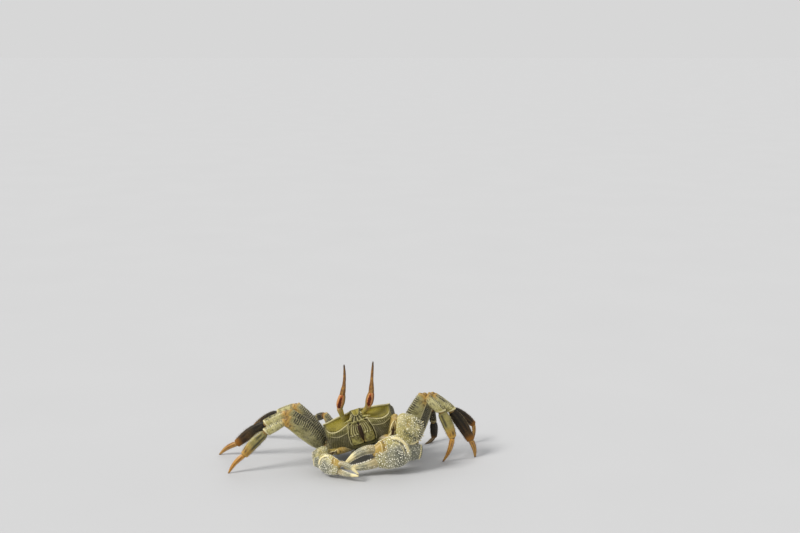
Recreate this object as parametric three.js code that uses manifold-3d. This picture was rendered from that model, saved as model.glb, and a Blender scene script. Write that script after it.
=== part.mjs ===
// Horned ghost crab, a life-size still model. Millimetres, +Z up.
// +X is the crab's left, its face looks along -Y, and its feet stand on z = 0. At the end the
// whole crab is centred over the origin.
// The body rears nose-up and rolls to its right, as the crab climbs out of a burrow.

import * as THREE from "three";
import { mergeVertices } from "three/addons/utils/BufferGeometryUtils.js";
import Module from "manifold-3d";

const wasm = await Module();
wasm.setup();

// ---------------------------------------------------------------- driving dimensions

const GAP = 0.35; // air between touching pieces
const WELD = 1e-4; // vertices nearer than this are one

// The body's own frame: origin midway between the outer corners of the orbits,
// x to the crab's left, y to its rear, z out of its back.
const BODY_AT = new THREE.Vector3(9.8, -15.0, 36.2);
const BODY_YAW = -4;
const BODY_PITCH = 32;
const BODY_ROLL = 17.2;

const SHELL = {
  frontHalf: 22.1, // half the width across the outer orbital corners
  widestHalf: 23.8, // half the carapace breadth
  rearHalf: 14.5,
  length: 39,
  frontDome: 2.9, // rise of the front margin above its corners
  midDome: 5.3,
  rearDome: 3.2,
  marginDrop: 5.2, // fall of the side margin from front to rear
  frontFloor: -20.4, // lower edge of the shell under the face
  rearFloor: -12.5,
  orbitFoot: -8.5, // height of the lower orbital margin
  faceSlope: 0.66, // how fast the face falls back under the orbits
  bulge: 1.4, // how far the middle of the face stands forward
  rearLean: 1.6, // how far the foot of the rear wall stands forward
};

// Each orbit is hollowed by an ellipsoid: half sizes, tilt and centre.
const ORBIT = { across: 10.4, deep: 5.6, high: 5.6, tilt: 8, x: 12.2, y: -3.2, z: -2.4 };
const STERNUM = { half: 11.5, front: 11.5, rear: 36, thick: 3.0 };
const ABDOMEN = { rootHalf: 6.2, tipHalf: 1.6, front: 14, rear: 37.5, thick: 1.3 };
const MOUTH = { topHalf: 4.6, footHalf: 7.6, top: -6.3, foot: -18.6, thick: 2.0, split: 0.9 };

const EYE = { half: 2.45, stalkHalf: 2.0, stripHalf: 1.1, hornHalf: 1.35, hornTip: 0.42 };
// Each eye is held upright whatever the body does: root, foot and head of the cornea, horn tip
// and how far the horn bows inwards.
const EYES = {
  right: {
    root: [1.4, -15.4, 33.2], foot: [-1.4, -17, 40.5], head: [1.5, -17, 51.8],
    tip: [2.3, -16, 70.3], bow: 1.4,
  },
  left: {
    root: [14.2, -14.6, 36.4], foot: [18.1, -18, 42.3], head: [20.4, -18, 53.6],
    tip: [21.1, -16, 72.4], bow: 0.1,
  },
};

const ANTENNA = { root: [4.6, -1.6, -3.4], lean: [4.4, -3.2, -0.9], rootHalf: 0.75, tipHalf: 0.3 };

// A walking leg stands in one upright plane. Each part has a length and its angle above the
// floor in that plane; the dactyl's angle is solved so that its tip meets the floor.
const LEGS = {
  left_1: { root: [16, 14, -15.5], azimuth: 4, ischium: [12, -27], merus: [33.8, 67],
    carpus: [16.2, -46.2], propodus: [19.9, -67], dactyl: 18.7, inward: true, size: 1 },
  left_2: { root: [16.6, 20, -15], azimuth: 5, ischium: [17.2, -20], merus: [33.4, 70.5],
    carpus: [17.4, -38], propodus: [25.2, -57.5], dactyl: 13.4, inward: false, size: 1.04 },
  left_3: { root: [16.2, 26, -14], azimuth: 24, ischium: [16.6, -20], merus: [33.6, 61.5],
    carpus: [20, -41], propodus: [21.6, -38.5], dactyl: 14.4, inward: true, size: 0.82 },
  left_4: { root: [13.6, 31.5, -12], azimuth: 34, ischium: [15, -21], merus: [29, 35],
    carpus: [11, -82], propodus: [11.6, -86], dactyl: 9.7, inward: true, size: 0.88 },
  right_1: { root: [-16, 14, -15.5], azimuth: 192, ischium: [12, 4], merus: [32, 40],
    carpus: [15.4, -27], propodus: [20.4, -45], dactyl: 16.4, inward: false, size: 1 },
  right_2: { root: [-16.6, 20, -15], azimuth: 172, ischium: [12.5, 7], merus: [33, 41],
    carpus: [17, -30], propodus: [25.5, -36], dactyl: 16, inward: false, size: 1.04 },
  right_3: { root: [-16.2, 26, -14], azimuth: 151, ischium: [13, 8], merus: [33.5, 41],
    carpus: [16.5, -28], propodus: [25, -34], dactyl: 15, inward: false, size: 0.88 },
  right_4: { root: [-13.6, 31.5, -12], azimuth: 128, ischium: [9.5, 8], merus: [22, 36],
    carpus: [10.6, -25], propodus: [14, -45], dactyl: 11, inward: false, size: 0.82 },
};
// Full widths and thicknesses of a leg's parts at size 1, at even steps from root to end.
const LEG_FORM = {
  ischium: { wide: [5.6, 6.6, 6.4], thick: [4.9, 4.8, 3.9] },
  merus: { wide: [5.6, 10.2, 11.0, 9.6, 7.2], thick: [3.6, 3.9, 3.7, 3.5, 3.4] },
  carpus: { wide: [4.0, 5.5, 6.0, 5.6], thick: [3.2, 3.8, 3.9, 3.7] },
  propodus: { wide: [5.4, 6.9, 6.5, 4.8], thick: [3.2, 3.5, 3.3, 2.8] },
  dactyl: { wide: [3.5, 3.3, 2.7, 1.6], thick: [2.7, 2.6, 2.2, 1.5] },
};
const MERUS_BOW = 0.9; // how far the middle of a merus stands out along its back
const DACTYL_BOW = 0.07; // the same for a dactyl, per length
const FOOT = 0.55; // height trimmed off each tip to make its flat

// The claws fold across the front: from the root out to a bend, up the merus to the elbow, down
// over the plate of the carpus to the heel and wrist of the palm, and along it to the knuckle and
// finger tips.
const CLAWS = {
  left: {
    root: [10, 8.4, -18.6], bend: [33.0, -20.8, 20.0], elbow: [35.4, -21.6, 37.0],
    plate: [44.2, -24.6, 29.2],
    heel: [51.6, -24.6, 13.6], wrist: [43.0, -27.2, 17.2],
    knuckle: [22.4, -31.4, 12.6], tip: [2.4, -35.0, 7.6], size: 1,
  },
  right: {
    root: [-10, 8.4, -18.6], bend: [-1.6, -22.4, 13.2], elbow: [-9.2, -24.4, 13.0],
    plate: [-12.6, -27.6, 12.0], heel: [-16.6, -29.4, 8.6], wrist: [-12.4, -31.8, 9.8],
    knuckle: [-0.2, -38.2, 7.8], tip: [12.4, -44.0, 5.4], size: 0.6,
  },
};
const CLAW_FORM = {
  ischium: { wide: [7.0, 7.4, 7.0], thick: [6.4, 6.4, 5.6] },
  merus: { wide: [7.5, 9.4, 10.0, 8.6], thick: [5.2, 5.4, 5.2, 4.8] },
  plate: { left: 9.2, right: 9.2, high: 10.2, deep: 5.2, square: 0.62 },
  heel: { high: [9.5, 13.5, 15.5], thick: [5.4, 7.2, 8.0] },
  palm: { high: [14, 21, 21.6, 18.6, 14.5], thick: [7.5, 10.0, 10.2, 8.8, 6.6] },
  fixed: { high: [7.8, 6.0, 4.2, 1.8], thick: [5.8, 4.4, 3.2, 1.6], arch: 1.6, drop: 3.3 },
  finger: { high: [6.4, 6.0, 4.6, 1.9], thick: [5.4, 4.6, 3.4, 1.6], arch: 3.6, lift: 4.4 },
};

const SIGN = { left: 1, right: -1 };

const LOOK = {
  shell: { color: 0x6f6f34, roughness: 0.45, metalness: 0 },
  belly: { color: 0xcfc59a, roughness: 0.5, metalness: 0 },
  limb: { color: 0x77713a, roughness: 0.45, metalness: 0 },
  foot: { color: 0xb36a1c, roughness: 0.4, metalness: 0 },
  claw: { color: 0xc9c08a, roughness: 0.4, metalness: 0 },
  stalk: { color: 0xb06a22, roughness: 0.4, metalness: 0 },
  cornea: { color: 0xa8452a, roughness: 0.15, metalness: 0 },
};

// ---------------------------------------------------------------- small maths

const radians = THREE.MathUtils.degToRad;

function vec(list) {
  return new THREE.Vector3(...list);
}

// Value at t in 0..1 of a list of evenly spaced stops, eased between them.
function along(stops, t) {
  const place = THREE.MathUtils.clamp(t, 0, 1) * (stops.length - 1);
  const step = Math.min(Math.floor(place), stops.length - 2);
  const part = place - step;
  const eased = part * part * (3 - 2 * part);
  return stops[step] + (stops[step + 1] - stops[step]) * eased;
}

// Matrix of a frame from its three axes and its origin.
function frameOf(xAxis, yAxis, zAxis, origin) {
  return new THREE.Matrix4().makeBasis(xAxis, yAxis, zAxis).setPosition(origin);
}

// Frame with y along a to b and x as near as can be to the wanted side.
function frameAlong(a, b, side) {
  const yAxis = b.clone().sub(a).normalize();
  const xAxis = side.clone().addScaledVector(yAxis, -side.dot(yAxis)).normalize();
  const zAxis = xAxis.clone().cross(yAxis);
  return frameOf(xAxis, yAxis, zAxis, a);
}

function bodyFrame() {
  const yaw = new THREE.Matrix4().makeRotationZ(radians(-BODY_YAW));
  const roll = new THREE.Matrix4().makeRotationY(radians(-BODY_ROLL));
  const pitch = new THREE.Matrix4().makeRotationX(radians(-BODY_PITCH));
  return yaw.multiply(roll).multiply(pitch).setPosition(BODY_AT);
}

const BODY = bodyFrame();

function onBody(list) {
  return vec(list).applyMatrix4(BODY);
}

// ---------------------------------------------------------------- solids

// Closed solid of a three.js geometry: welded, without collapsed faces, faces outwards.
function solidOf(geometry) {
  const bare = geometry.clone();
  bare.deleteAttribute("normal");
  bare.deleteAttribute("uv");
  const welded = mergeVertices(bare, WELD);
  const places = welded.attributes.position.array;
  const index = welded.index.array;
  const kept = [];
  let volume = 0;
  for (let i = 0; i < index.length; i += 3) {
    const [a, b, c] = [index[i], index[i + 1], index[i + 2]];
    if (a === b || b === c || c === a) {
      continue;
    }
    kept.push(a, b, c);
    const p = new THREE.Vector3().fromArray(places, 3 * a);
    const q = new THREE.Vector3().fromArray(places, 3 * b);
    const r = new THREE.Vector3().fromArray(places, 3 * c);
    volume += p.dot(q.cross(r));
  }
  if (volume < 0) {
    for (let i = 0; i < kept.length; i += 3) {
      [kept[i], kept[i + 1]] = [kept[i + 1], kept[i]];
    }
  }
  const mesh = new wasm.Mesh({
    numProp: 3,
    vertProperties: new Float32Array(places),
    triVerts: new Uint32Array(kept),
  });
  return new wasm.Manifold(mesh);
}

function geometryOf(solid) {
  const mesh = solid.getMesh();
  const geometry = new THREE.BufferGeometry();
  geometry.setAttribute("position", new THREE.BufferAttribute(mesh.vertProperties, 3));
  geometry.setIndex(new THREE.BufferAttribute(mesh.triVerts, 1));
  geometry.computeVertexNormals();
  return geometry;
}

// Moves every vertex of a geometry by a function of its place.
function shaped(geometry, place) {
  const position = geometry.attributes.position;
  const point = new THREE.Vector3();
  for (let i = 0; i < position.count; i += 1) {
    point.fromBufferAttribute(position, i);
    place(point);
    position.setXYZ(i, point.x, point.y, point.z);
  }
  return geometry;
}

// The bow of a straight bar.
function flat() {
  return 0;
}

// Lathed bar of one limb part, flattened to its widths and thicknesses, from a to b.
// grow swells it all round, bow(t) shifts it along the wide side.
function bar({ a, b, side, wide, thick, rings = 6, sides = 8, ends = [0.62, 0.62], grow = 0, bow = flat }) {
  const length = a.distanceTo(b);
  const cap = 0.07;
  const steps = [0, cap];
  for (let i = 1; i < rings - 1; i += 1) {
    steps.push(cap + ((1 - 2 * cap) * i) / (rings - 1));
  }
  steps.push(1 - cap, 1);
  const profile = [new THREE.Vector2(0, 0)];
  for (const t of steps) {
    profile.push(new THREE.Vector2(1, t));
  }
  profile.push(new THREE.Vector2(0, 1));
  const lathe = new THREE.LatheGeometry(profile, sides, Math.PI / 2);
  shaped(lathe, (p) => {
    const t = p.y;
    let taper = 1;
    if (t < cap / 2) {
      taper = ends[0];
    } else if (t > 1 - cap / 2) {
      taper = ends[1];
    }
    p.x = p.x * (along(wide, t) / 2 * taper + grow) + bow(t);
    p.z *= along(thick, t) / 2 * taper + grow;
    p.y = t * (length + 2 * grow) - grow;
  });
  return solidOf(lathe.applyMatrix4(frameAlong(a, b, side)));
}

// ---------------------------------------------------------------- body shell

function shellHalf(v) {
  return along([SHELL.frontHalf, SHELL.widestHalf, 23.4, 20.8, SHELL.rearHalf], v);
}

function marginHeight(v) {
  return -SHELL.marginDrop * v ** 1.6;
}

function domeHeight(u, v) {
  const rise = along([SHELL.frontDome, SHELL.midDome, 5.4, SHELL.rearDome], v);
  return marginHeight(v) + rise * (1 - u * u);
}

function floorHeight(v) {
  return along([SHELL.frontFloor, -19, -16.8, SHELL.rearFloor], v);
}

// Distance of the face behind the orbital corners at height z, and at u across.
function facePlane(u, z) {
  const under = Math.max(0, SHELL.orbitFoot - z);
  const middle = SHELL.bulge * (1 - u * u);
  return -0.8 * Math.min(1, Math.max(0, z / SHELL.orbitFoot)) + SHELL.faceSlope * under - middle;
}

// Side walls draw in a little towards the belly.
function wallWidth(w) {
  return along([0.95, 0.985, 1, 1, 1], w);
}

function shellSolid() {
  const box = new THREE.BoxGeometry(2, 1, 1, 8, 5, 4);
  shaped(box, (p) => {
    const u = p.x;
    const v = p.y + 0.5;
    const w = p.z + 0.5;
    const z = THREE.MathUtils.lerp(floorHeight(v), domeHeight(u, v), w);
    const rear = SHELL.length - SHELL.rearLean * (1 - w) - 1.2 * u * u;
    p.set(u * shellHalf(v) * wallWidth(w), THREE.MathUtils.lerp(facePlane(u, z), rear, v), z);
  });
  return solidOf(box.applyMatrix4(BODY));
}

// One hollow orbit, a sunk ellipsoid beside the middle of the front.
function orbitCut(sign) {
  const ball = new THREE.SphereGeometry(1, 10, 8);
  ball.scale(ORBIT.across, ORBIT.deep, ORBIT.high);
  ball.rotateY(radians(sign * -ORBIT.tilt));
  ball.translate(sign * ORBIT.x, ORBIT.y, ORBIT.z);
  return solidOf(ball.applyMatrix4(BODY));
}

// Outline of the mouth field, grown by a margin, with an optional inner edge.
function mouthShape(margin, inner) {
  const height = (MOUTH.top - MOUTH.foot) / Math.cos(Math.atan(SHELL.faceSlope));
  const shape = new THREE.Shape();
  shape.moveTo(inner, -margin);
  shape.lineTo(MOUTH.footHalf - 1.6 + margin, -margin);
  shape.quadraticCurveTo(MOUTH.footHalf + margin, -margin, MOUTH.footHalf + margin, 2.4);
  shape.quadraticCurveTo(MOUTH.footHalf + margin, height * 0.6, MOUTH.topHalf + margin, height - 1);
  shape.quadraticCurveTo(MOUTH.topHalf - 0.6, height + margin, 2.6, height + margin);
  shape.lineTo(inner, height + margin);
  shape.closePath();
  return shape;
}

// A plate of the mouth outline lying on the face, mirrored for the right side.
function mouthPlate(sign, margin, inner, depth, proud) {
  const plate = new THREE.ExtrudeGeometry(mouthShape(margin, inner), {
    depth,
    bevelEnabled: false,
    curveSegments: 4,
  });
  const lean = Math.atan(SHELL.faceSlope);
  plate.translate(0, 0, -proud);
  plate.rotateX(Math.PI / 2 + lean);
  plate.scale(sign, 1, 1);
  const footY = facePlane(0, MOUTH.foot);
  plate.translate(0, footY, MOUTH.foot);
  return solidOf(plate.applyMatrix4(BODY));
}

// A plate under the belly between two surfaces that follow the shell's floor.
function bellyPlate({ half, front, rear, top, thick, slices }) {
  const box = new THREE.BoxGeometry(2, 1, 1, 4, slices, 1);
  const foot = facePlane(0, SHELL.frontFloor);
  shaped(box, (p) => {
    const v = p.y + 0.5;
    const w = p.z + 0.5;
    const y = THREE.MathUtils.lerp(front, rear, v);
    const rounding = 1 - 0.35 * p.x ** 4;
    const shellV = (y - foot) / (SHELL.length - SHELL.rearLean - foot);
    p.set(p.x * half(v), y, floorHeight(shellV) - top - (1 - w) * thick * rounding);
  });
  return solidOf(box.applyMatrix4(BODY));
}

function sternumSolid() {
  return bellyPlate({
    half: (v) => STERNUM.half * along([0.55, 1, 1, 0.9, 0.6], v),
    front: STERNUM.front,
    rear: STERNUM.rear,
    top: GAP,
    thick: STERNUM.thick,
    slices: 5,
  });
}

function abdomenSolid() {
  return bellyPlate({
    half: (v) => THREE.MathUtils.lerp(ABDOMEN.tipHalf, ABDOMEN.rootHalf, v ** 0.8),
    front: ABDOMEN.front,
    rear: ABDOMEN.rear,
    top: 2 * GAP + STERNUM.thick,
    thick: ABDOMEN.thick,
    slices: 5,
  });
}

// ---------------------------------------------------------------- eyes and antennae

function eyeSolids(name, sign) {
  const [root, foot, head, tip] = ["root", "foot", "head", "tip"].map((key) => vec(EYES[name][key]));
  const inner = new THREE.Vector3(-sign, 0, 0);
  const shift = inner.clone().multiplyScalar(EYE.half - EYE.stripHalf * 0.6);
  const up = head.clone().sub(foot).normalize();
  const stalk = (grow) => {
    const peduncle = bar({
      a: root,
      b: foot.clone().addScaledVector(up, 0.9),
      side: inner,
      wide: [2 * EYE.stalkHalf, 1.9 * EYE.stalkHalf, 1.8 * EYE.stalkHalf],
      thick: [2 * EYE.stalkHalf, 1.9 * EYE.stalkHalf, 1.8 * EYE.stalkHalf],
      rings: 3,
      sides: 6,
      ends: [0.8, 0.7],
      grow,
    });
    const strip = bar({
      a: foot.clone().addScaledVector(up, -0.6).addScaledVector(shift, 0.5),
      b: head.clone().addScaledVector(up, -0.4).addScaledVector(shift, 0.2),
      side: inner,
      wide: [2.6 * EYE.stripHalf, 2 * EYE.stripHalf, 2 * EYE.stripHalf, 2 * EYE.stripHalf],
      thick: [3 * EYE.stripHalf, 2.2 * EYE.stripHalf, 2 * EYE.stripHalf, 2 * EYE.stripHalf],
      bow: (t) => Math.sin(Math.PI * t) * 1.1,
      rings: 5,
      sides: 6,
      grow,
    });
    return peduncle.add(strip);
  };
  const horn = (grow) => bar({
    a: head.clone().addScaledVector(up, -1.2),
    b: tip,
    side: inner,
    wide: [2 * EYE.hornHalf, 1.7 * EYE.hornHalf, 1.15 * EYE.hornHalf, 2 * EYE.hornTip],
    thick: [2 * EYE.hornHalf, 1.7 * EYE.hornHalf, 1.15 * EYE.hornHalf, 2 * EYE.hornTip],
    rings: 4,
    ends: [0.9, 0.55],
    bow: (t) => EYES[name].bow * Math.sin(Math.PI * t),
    grow,
  });
  const bulb = bar({
    a: foot,
    b: head,
    side: inner,
    wide: [2.4, 4.7, 4.9, 4.0, 2.3],
    thick: [2.4, 4.7, 4.9, 4.0, 2.3],
    rings: 5,
    sides: 8,
    ends: [0.7, 0.6],
  });
  return {
    stalk: stalk(0).subtract(horn(GAP)),
    cornea: bulb.subtract(stalk(GAP)).subtract(horn(GAP)),
    horn: horn(0),
    socket: stalk(GAP),
  };
}

function antennaSolid(sign, grow) {
  const root = vec(ANTENNA.root);
  const lean = vec(ANTENNA.lean);
  root.x *= sign;
  lean.x *= sign;
  const widths = [2 * ANTENNA.rootHalf, 1.6 * ANTENNA.rootHalf, 2 * ANTENNA.tipHalf];
  return bar({
    a: root.clone().applyMatrix4(BODY),
    b: root.clone().add(lean).applyMatrix4(BODY),
    side: new THREE.Vector3(0, 0, 1),
    wide: widths,
    thick: widths,
    rings: 3,
    sides: 6,
    grow,
  });
}

// ---------------------------------------------------------------- walking legs

// Points of a leg's joints, and the angle of each part in the leg's plane.
function legPath(leg) {
  const azimuth = radians(leg.azimuth);
  const outward = new THREE.Vector3(Math.cos(azimuth), Math.sin(azimuth), 0);
  const up = new THREE.Vector3(0, 0, 1);
  const points = [onBody(leg.root)];
  const angles = [];
  const step = (length, angle) => {
    const last = points[points.length - 1];
    const move = outward.clone().multiplyScalar(length * Math.cos(angle));
    points.push(last.clone().add(move).addScaledVector(up, length * Math.sin(angle)));
    angles.push(angle);
  };
  for (const part of ["ischium", "merus", "carpus", "propodus"]) {
    step(leg[part][0], radians(leg[part][1]));
  }
  const drop = Math.asin(Math.min(1, (points[4].z + FOOT) / leg.dactyl));
  step(leg.dactyl, leg.inward ? drop - Math.PI : -drop);
  return { points, angles, outward, up };
}

// The back side of a leg part, square to it in the leg's plane.
function backSide(path, number) {
  const angle = path.angles[number];
  const side = path.outward.clone().multiplyScalar(-Math.sin(angle));
  return side.addScaledVector(path.up, Math.cos(angle));
}

function legBar(leg, path, number, part, grow, extra = {}) {
  const form = LEG_FORM[part];
  return bar({
    a: path.points[number],
    b: path.points[number + 1],
    side: backSide(path, number),
    wide: form.wide.map((value) => value * leg.size),
    thick: form.thick.map((value) => value * leg.size),
    grow,
    ...extra,
  });
}

function legSolids(leg) {
  const path = legPath(leg);
  const root = (grow) => legBar(leg, path, 0, "ischium", grow, { rings: 3, ends: [0.9, 0.75] })
    .add(legBar(leg, path, 1, "merus", grow, {
      rings: 4,
      bow: (t) => MERUS_BOW * leg.size * Math.sin(Math.PI * t),
    }));
  const shin = { rings: 3, sides: 6, ends: [0.8, 0.7] };
  const carpus = (grow) => legBar(leg, path, 2, "carpus", grow, shin);
  const propodus = (grow) => legBar(leg, path, 3, "propodus", grow, shin);
  const dactyl = (grow) => legBar(leg, path, 4, "dactyl", grow, {
    rings: 4,
    sides: 6,
    ends: [0.75, 0.75],
    bow: (t) => DACTYL_BOW * leg.dactyl * Math.sin(Math.PI * t),
  });
  return {
    merus: root(0).subtract(carpus(GAP)),
    carpus: carpus(0).subtract(propodus(GAP)),
    propodus: propodus(0).subtract(dactyl(GAP)),
    dactyl: dactyl(0),
    socket: root(GAP),
    joints: path.points,
  };
}

// ---------------------------------------------------------------- claws

function clawSolids(claw, sign) {
  const root = onBody(claw.root);
  const [bend, elbow, plateAt, heel, wrist, knuckle, tip] =
    ["bend", "elbow", "plate", "heel", "wrist", "knuckle", "tip"].map((key) => vec(claw[key]));
  const size = claw.size;
  const scaled = (list) => list.map((value) => value * size);
  const up = new THREE.Vector3(0, 0, 1);
  const forward = new THREE.Vector3(0, -1, 0);
  const merus = (grow) => bar({
    a: root,
    b: bend,
    side: up,
    wide: scaled(CLAW_FORM.ischium.wide),
    thick: scaled(CLAW_FORM.ischium.thick),
    rings: 3,
    grow,
  }).add(bar({
    a: bend,
    b: elbow,
    side: forward,
    wide: scaled(CLAW_FORM.merus.wide),
    thick: scaled(CLAW_FORM.merus.thick),
    rings: 4,
    grow,
  }));
  const form = CLAW_FORM.plate;
  const carpus = (grow) => {
    const ball = new THREE.SphereGeometry(1, 14, 7);
    shaped(ball, (p) => {
      const inner = p.x * sign < 0;
      const corner = inner ? Math.max(Math.abs(p.x), Math.abs(p.z)) : 1;
      const push = inner ? THREE.MathUtils.lerp(1, 1 / Math.max(corner, 0.75), form.square) : 1;
      p.x *= push * ((inner ? form.left : form.right) * size + grow);
      p.y *= form.deep * size + grow;
      p.z *= push * (form.high * size + grow);
    });
    ball.rotateX(radians(-14));
    ball.translate(plateAt.x, plateAt.y, plateAt.z);
    return solidOf(ball);
  };
  const palmAxis = knuckle.clone().sub(wrist).normalize();
  const palm = (grow) => bar({
    a: wrist.clone().addScaledVector(palmAxis, -1.5 * size),
    b: knuckle,
    side: up,
    wide: scaled(CLAW_FORM.palm.high),
    thick: scaled(CLAW_FORM.palm.thick),
    rings: 6,
    sides: 10,
    ends: [0.66, 0.9],
    grow,
  }).add(bar({
    a: heel,
    b: wrist.clone().addScaledVector(palmAxis, 5 * size),
    side: up,
    wide: scaled(CLAW_FORM.heel.high),
    thick: scaled(CLAW_FORM.heel.thick),
    rings: 3,
    grow,
  }));
  const digit = (shape, offset, sense, grow) => {
    const lift = up.clone().multiplyScalar(offset * size);
    const start = knuckle.clone().add(lift).addScaledVector(palmAxis, -2.2 * size);
    const end = tip.clone().addScaledVector(up, sense * 0.95 * size);
    return bar({
      a: start,
      b: end,
      side: up,
      wide: scaled(shape.high),
      thick: scaled(shape.thick),
      rings: 5,
      sides: 8,
      ends: [0.9, 0.6],
      bow: (t) => sense * shape.arch * size * Math.sin(Math.PI * t ** 0.85),
      grow,
    });
  };
  const fixed = (grow) => digit(CLAW_FORM.fixed, -CLAW_FORM.fixed.drop, -1, grow);
  const finger = (grow) => digit(CLAW_FORM.finger, CLAW_FORM.finger.lift, 1, grow);
  const hand = (grow) => palm(grow).add(fixed(grow));
  return {
    merus: merus(0).subtract(carpus(GAP)).subtract(hand(GAP)),
    carpus: carpus(0).subtract(hand(GAP)),
    palm: hand(0).subtract(finger(GAP)),
    finger: finger(0),
    socket: merus(GAP),
  };
}

// ---------------------------------------------------------------- the crab

const crab = new THREE.Group();
crab.name = "ghost_crab";

// Adds one named piece; its mesh sits at its own anchor inside a group.
function piece(group, name, solid, look, anchor) {
  const geometry = geometryOf(solid);
  geometry.translate(-anchor.x, -anchor.y, -anchor.z);
  const mesh = new THREE.Mesh(geometry, new THREE.MeshStandardMaterial(look));
  mesh.name = name;
  mesh.position.copy(anchor);
  group.add(mesh);
}

// Flattens a leg tip at floor level.
function standing(solid, joint) {
  const block = new THREE.BoxGeometry(30, 30, 20);
  block.translate(joint.x, joint.y, -10);
  return solid.subtract(solidOf(block));
}

function buildCrab() {
  const legs = Object.entries(LEGS).map(([name, leg]) => [name, legSolids(leg)]);
  const claws = ["left", "right"].map((side) => [side, clawSolids(CLAWS[side], SIGN[side])]);
  const eyes = ["left", "right"].map((side) => [side, eyeSolids(side, SIGN[side])]);

  let shell = shellSolid();
  let sternum = sternumSolid();
  for (const sign of [1, -1]) {
    shell = shell.subtract(orbitCut(sign)).subtract(mouthPlate(sign, GAP, -0.5, 4, 1.6));
    shell = shell.subtract(antennaSolid(sign, GAP));
  }
  for (const [, eye] of eyes) {
    shell = shell.subtract(eye.socket);
  }
  for (const [, limb] of [...legs, ...claws]) {
    shell = shell.subtract(limb.socket);
    sternum = sternum.subtract(limb.socket);
  }

  const trunk = new THREE.Group();
  crab.add(trunk);
  piece(trunk, "carapace", shell, LOOK.shell, onBody([0, 18, 0]));
  piece(trunk, "sternum", sternum, LOOK.belly, onBody([0, 22, -18]));
  piece(trunk, "abdomen", abdomenSolid(), LOOK.belly, onBody([0, 26, -20]));
  for (const [side, sign] of Object.entries(SIGN)) {
    const plate = mouthPlate(sign, 0, MOUTH.split / 2, MOUTH.thick, 0.8);
    piece(trunk, `maxilliped_${side}`, plate, LOOK.shell, onBody([sign * 4, 4, -12]));
    piece(trunk, `antenna_${side}`, antennaSolid(sign, 0), LOOK.limb, onBody([sign * 6, -2, -4]));
  }

  for (const [side, eye] of eyes) {
    const stand = new THREE.Group();
    crab.add(stand);
    piece(stand, `eyestalk_${side}`, eye.stalk, LOOK.stalk, vec(EYES[side].root));
    piece(stand, `eye_${side}`, eye.cornea, LOOK.cornea, vec(EYES[side].foot));
    piece(stand, `horn_${side}`, eye.horn, LOOK.stalk, vec(EYES[side].head));
  }

  for (const [side, claw] of claws) {
    const arm = new THREE.Group();
    crab.add(arm);
    piece(arm, `claw_${side}_merus`, claw.merus, LOOK.limb, vec(CLAWS[side].elbow));
    piece(arm, `claw_${side}_carpus`, claw.carpus, LOOK.claw, vec(CLAWS[side].plate));
    piece(arm, `claw_${side}_palm`, claw.palm, LOOK.claw, vec(CLAWS[side].wrist));
    piece(arm, `claw_${side}_finger`, claw.finger, LOOK.claw, vec(CLAWS[side].knuckle));
  }

  for (const [name, leg] of legs) {
    const limb = new THREE.Group();
    crab.add(limb);
    piece(limb, `leg_${name}_merus`, leg.merus, LOOK.limb, leg.joints[0]);
    piece(limb, `leg_${name}_carpus`, leg.carpus, LOOK.limb, leg.joints[2]);
    piece(limb, `leg_${name}_propodus`, leg.propodus, LOOK.limb, leg.joints[3]);
    piece(limb, `leg_${name}_dactyl`, standing(leg.dactyl, leg.joints[5]), LOOK.foot, leg.joints[4]);
  }
}

buildCrab();

const extent = new THREE.Box3().setFromObject(crab);
const middle = extent.getCenter(new THREE.Vector3());
crab.position.set(-middle.x, -middle.y, 0);

export default crab;
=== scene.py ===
"""Horned ghost crab, life size: fine shell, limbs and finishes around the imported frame.

Shapes are worked out in millimetres in the crab's own part coordinates: +X is the crab's left,
the face looks along -Y and the feet stand on z = 0. Skin.make() moves them to the frame, in metres.
The body has a frame of its own: x to the crab's left, y to its rear, z out of its back.
"""
import logging
import math
from dataclasses import dataclass
from enum import Enum
from typing import Any, Callable, Sequence

import bpy
import numpy as np
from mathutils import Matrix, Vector


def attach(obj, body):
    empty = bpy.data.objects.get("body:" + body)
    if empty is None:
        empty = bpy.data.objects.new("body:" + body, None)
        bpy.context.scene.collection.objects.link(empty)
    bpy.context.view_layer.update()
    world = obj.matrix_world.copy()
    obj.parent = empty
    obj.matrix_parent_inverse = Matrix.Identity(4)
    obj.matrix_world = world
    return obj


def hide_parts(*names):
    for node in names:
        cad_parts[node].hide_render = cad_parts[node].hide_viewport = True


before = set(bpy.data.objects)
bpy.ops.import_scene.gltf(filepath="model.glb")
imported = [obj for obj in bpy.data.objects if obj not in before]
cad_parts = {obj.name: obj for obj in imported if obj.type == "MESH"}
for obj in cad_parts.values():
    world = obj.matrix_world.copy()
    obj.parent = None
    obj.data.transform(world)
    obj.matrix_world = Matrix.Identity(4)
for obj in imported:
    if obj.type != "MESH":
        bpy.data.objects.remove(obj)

Array = np.ndarray
Socket = bpy.types.NodeSocket

LOG = logging.getLogger("ghost_crab")
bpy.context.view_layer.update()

MM = 0.001
CENTRE = np.array([-3.24082, -2.23880, 0.0])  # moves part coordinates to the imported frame
TURN = 2 * math.pi

# ---------------------------------------------------------------- the crab's measures

BODY_AT = np.array([9.8, -15.0, 36.2])
BODY_YAW = 4.0
BODY_ROLL = -17.2
BODY_PITCH = -32.0

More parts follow.
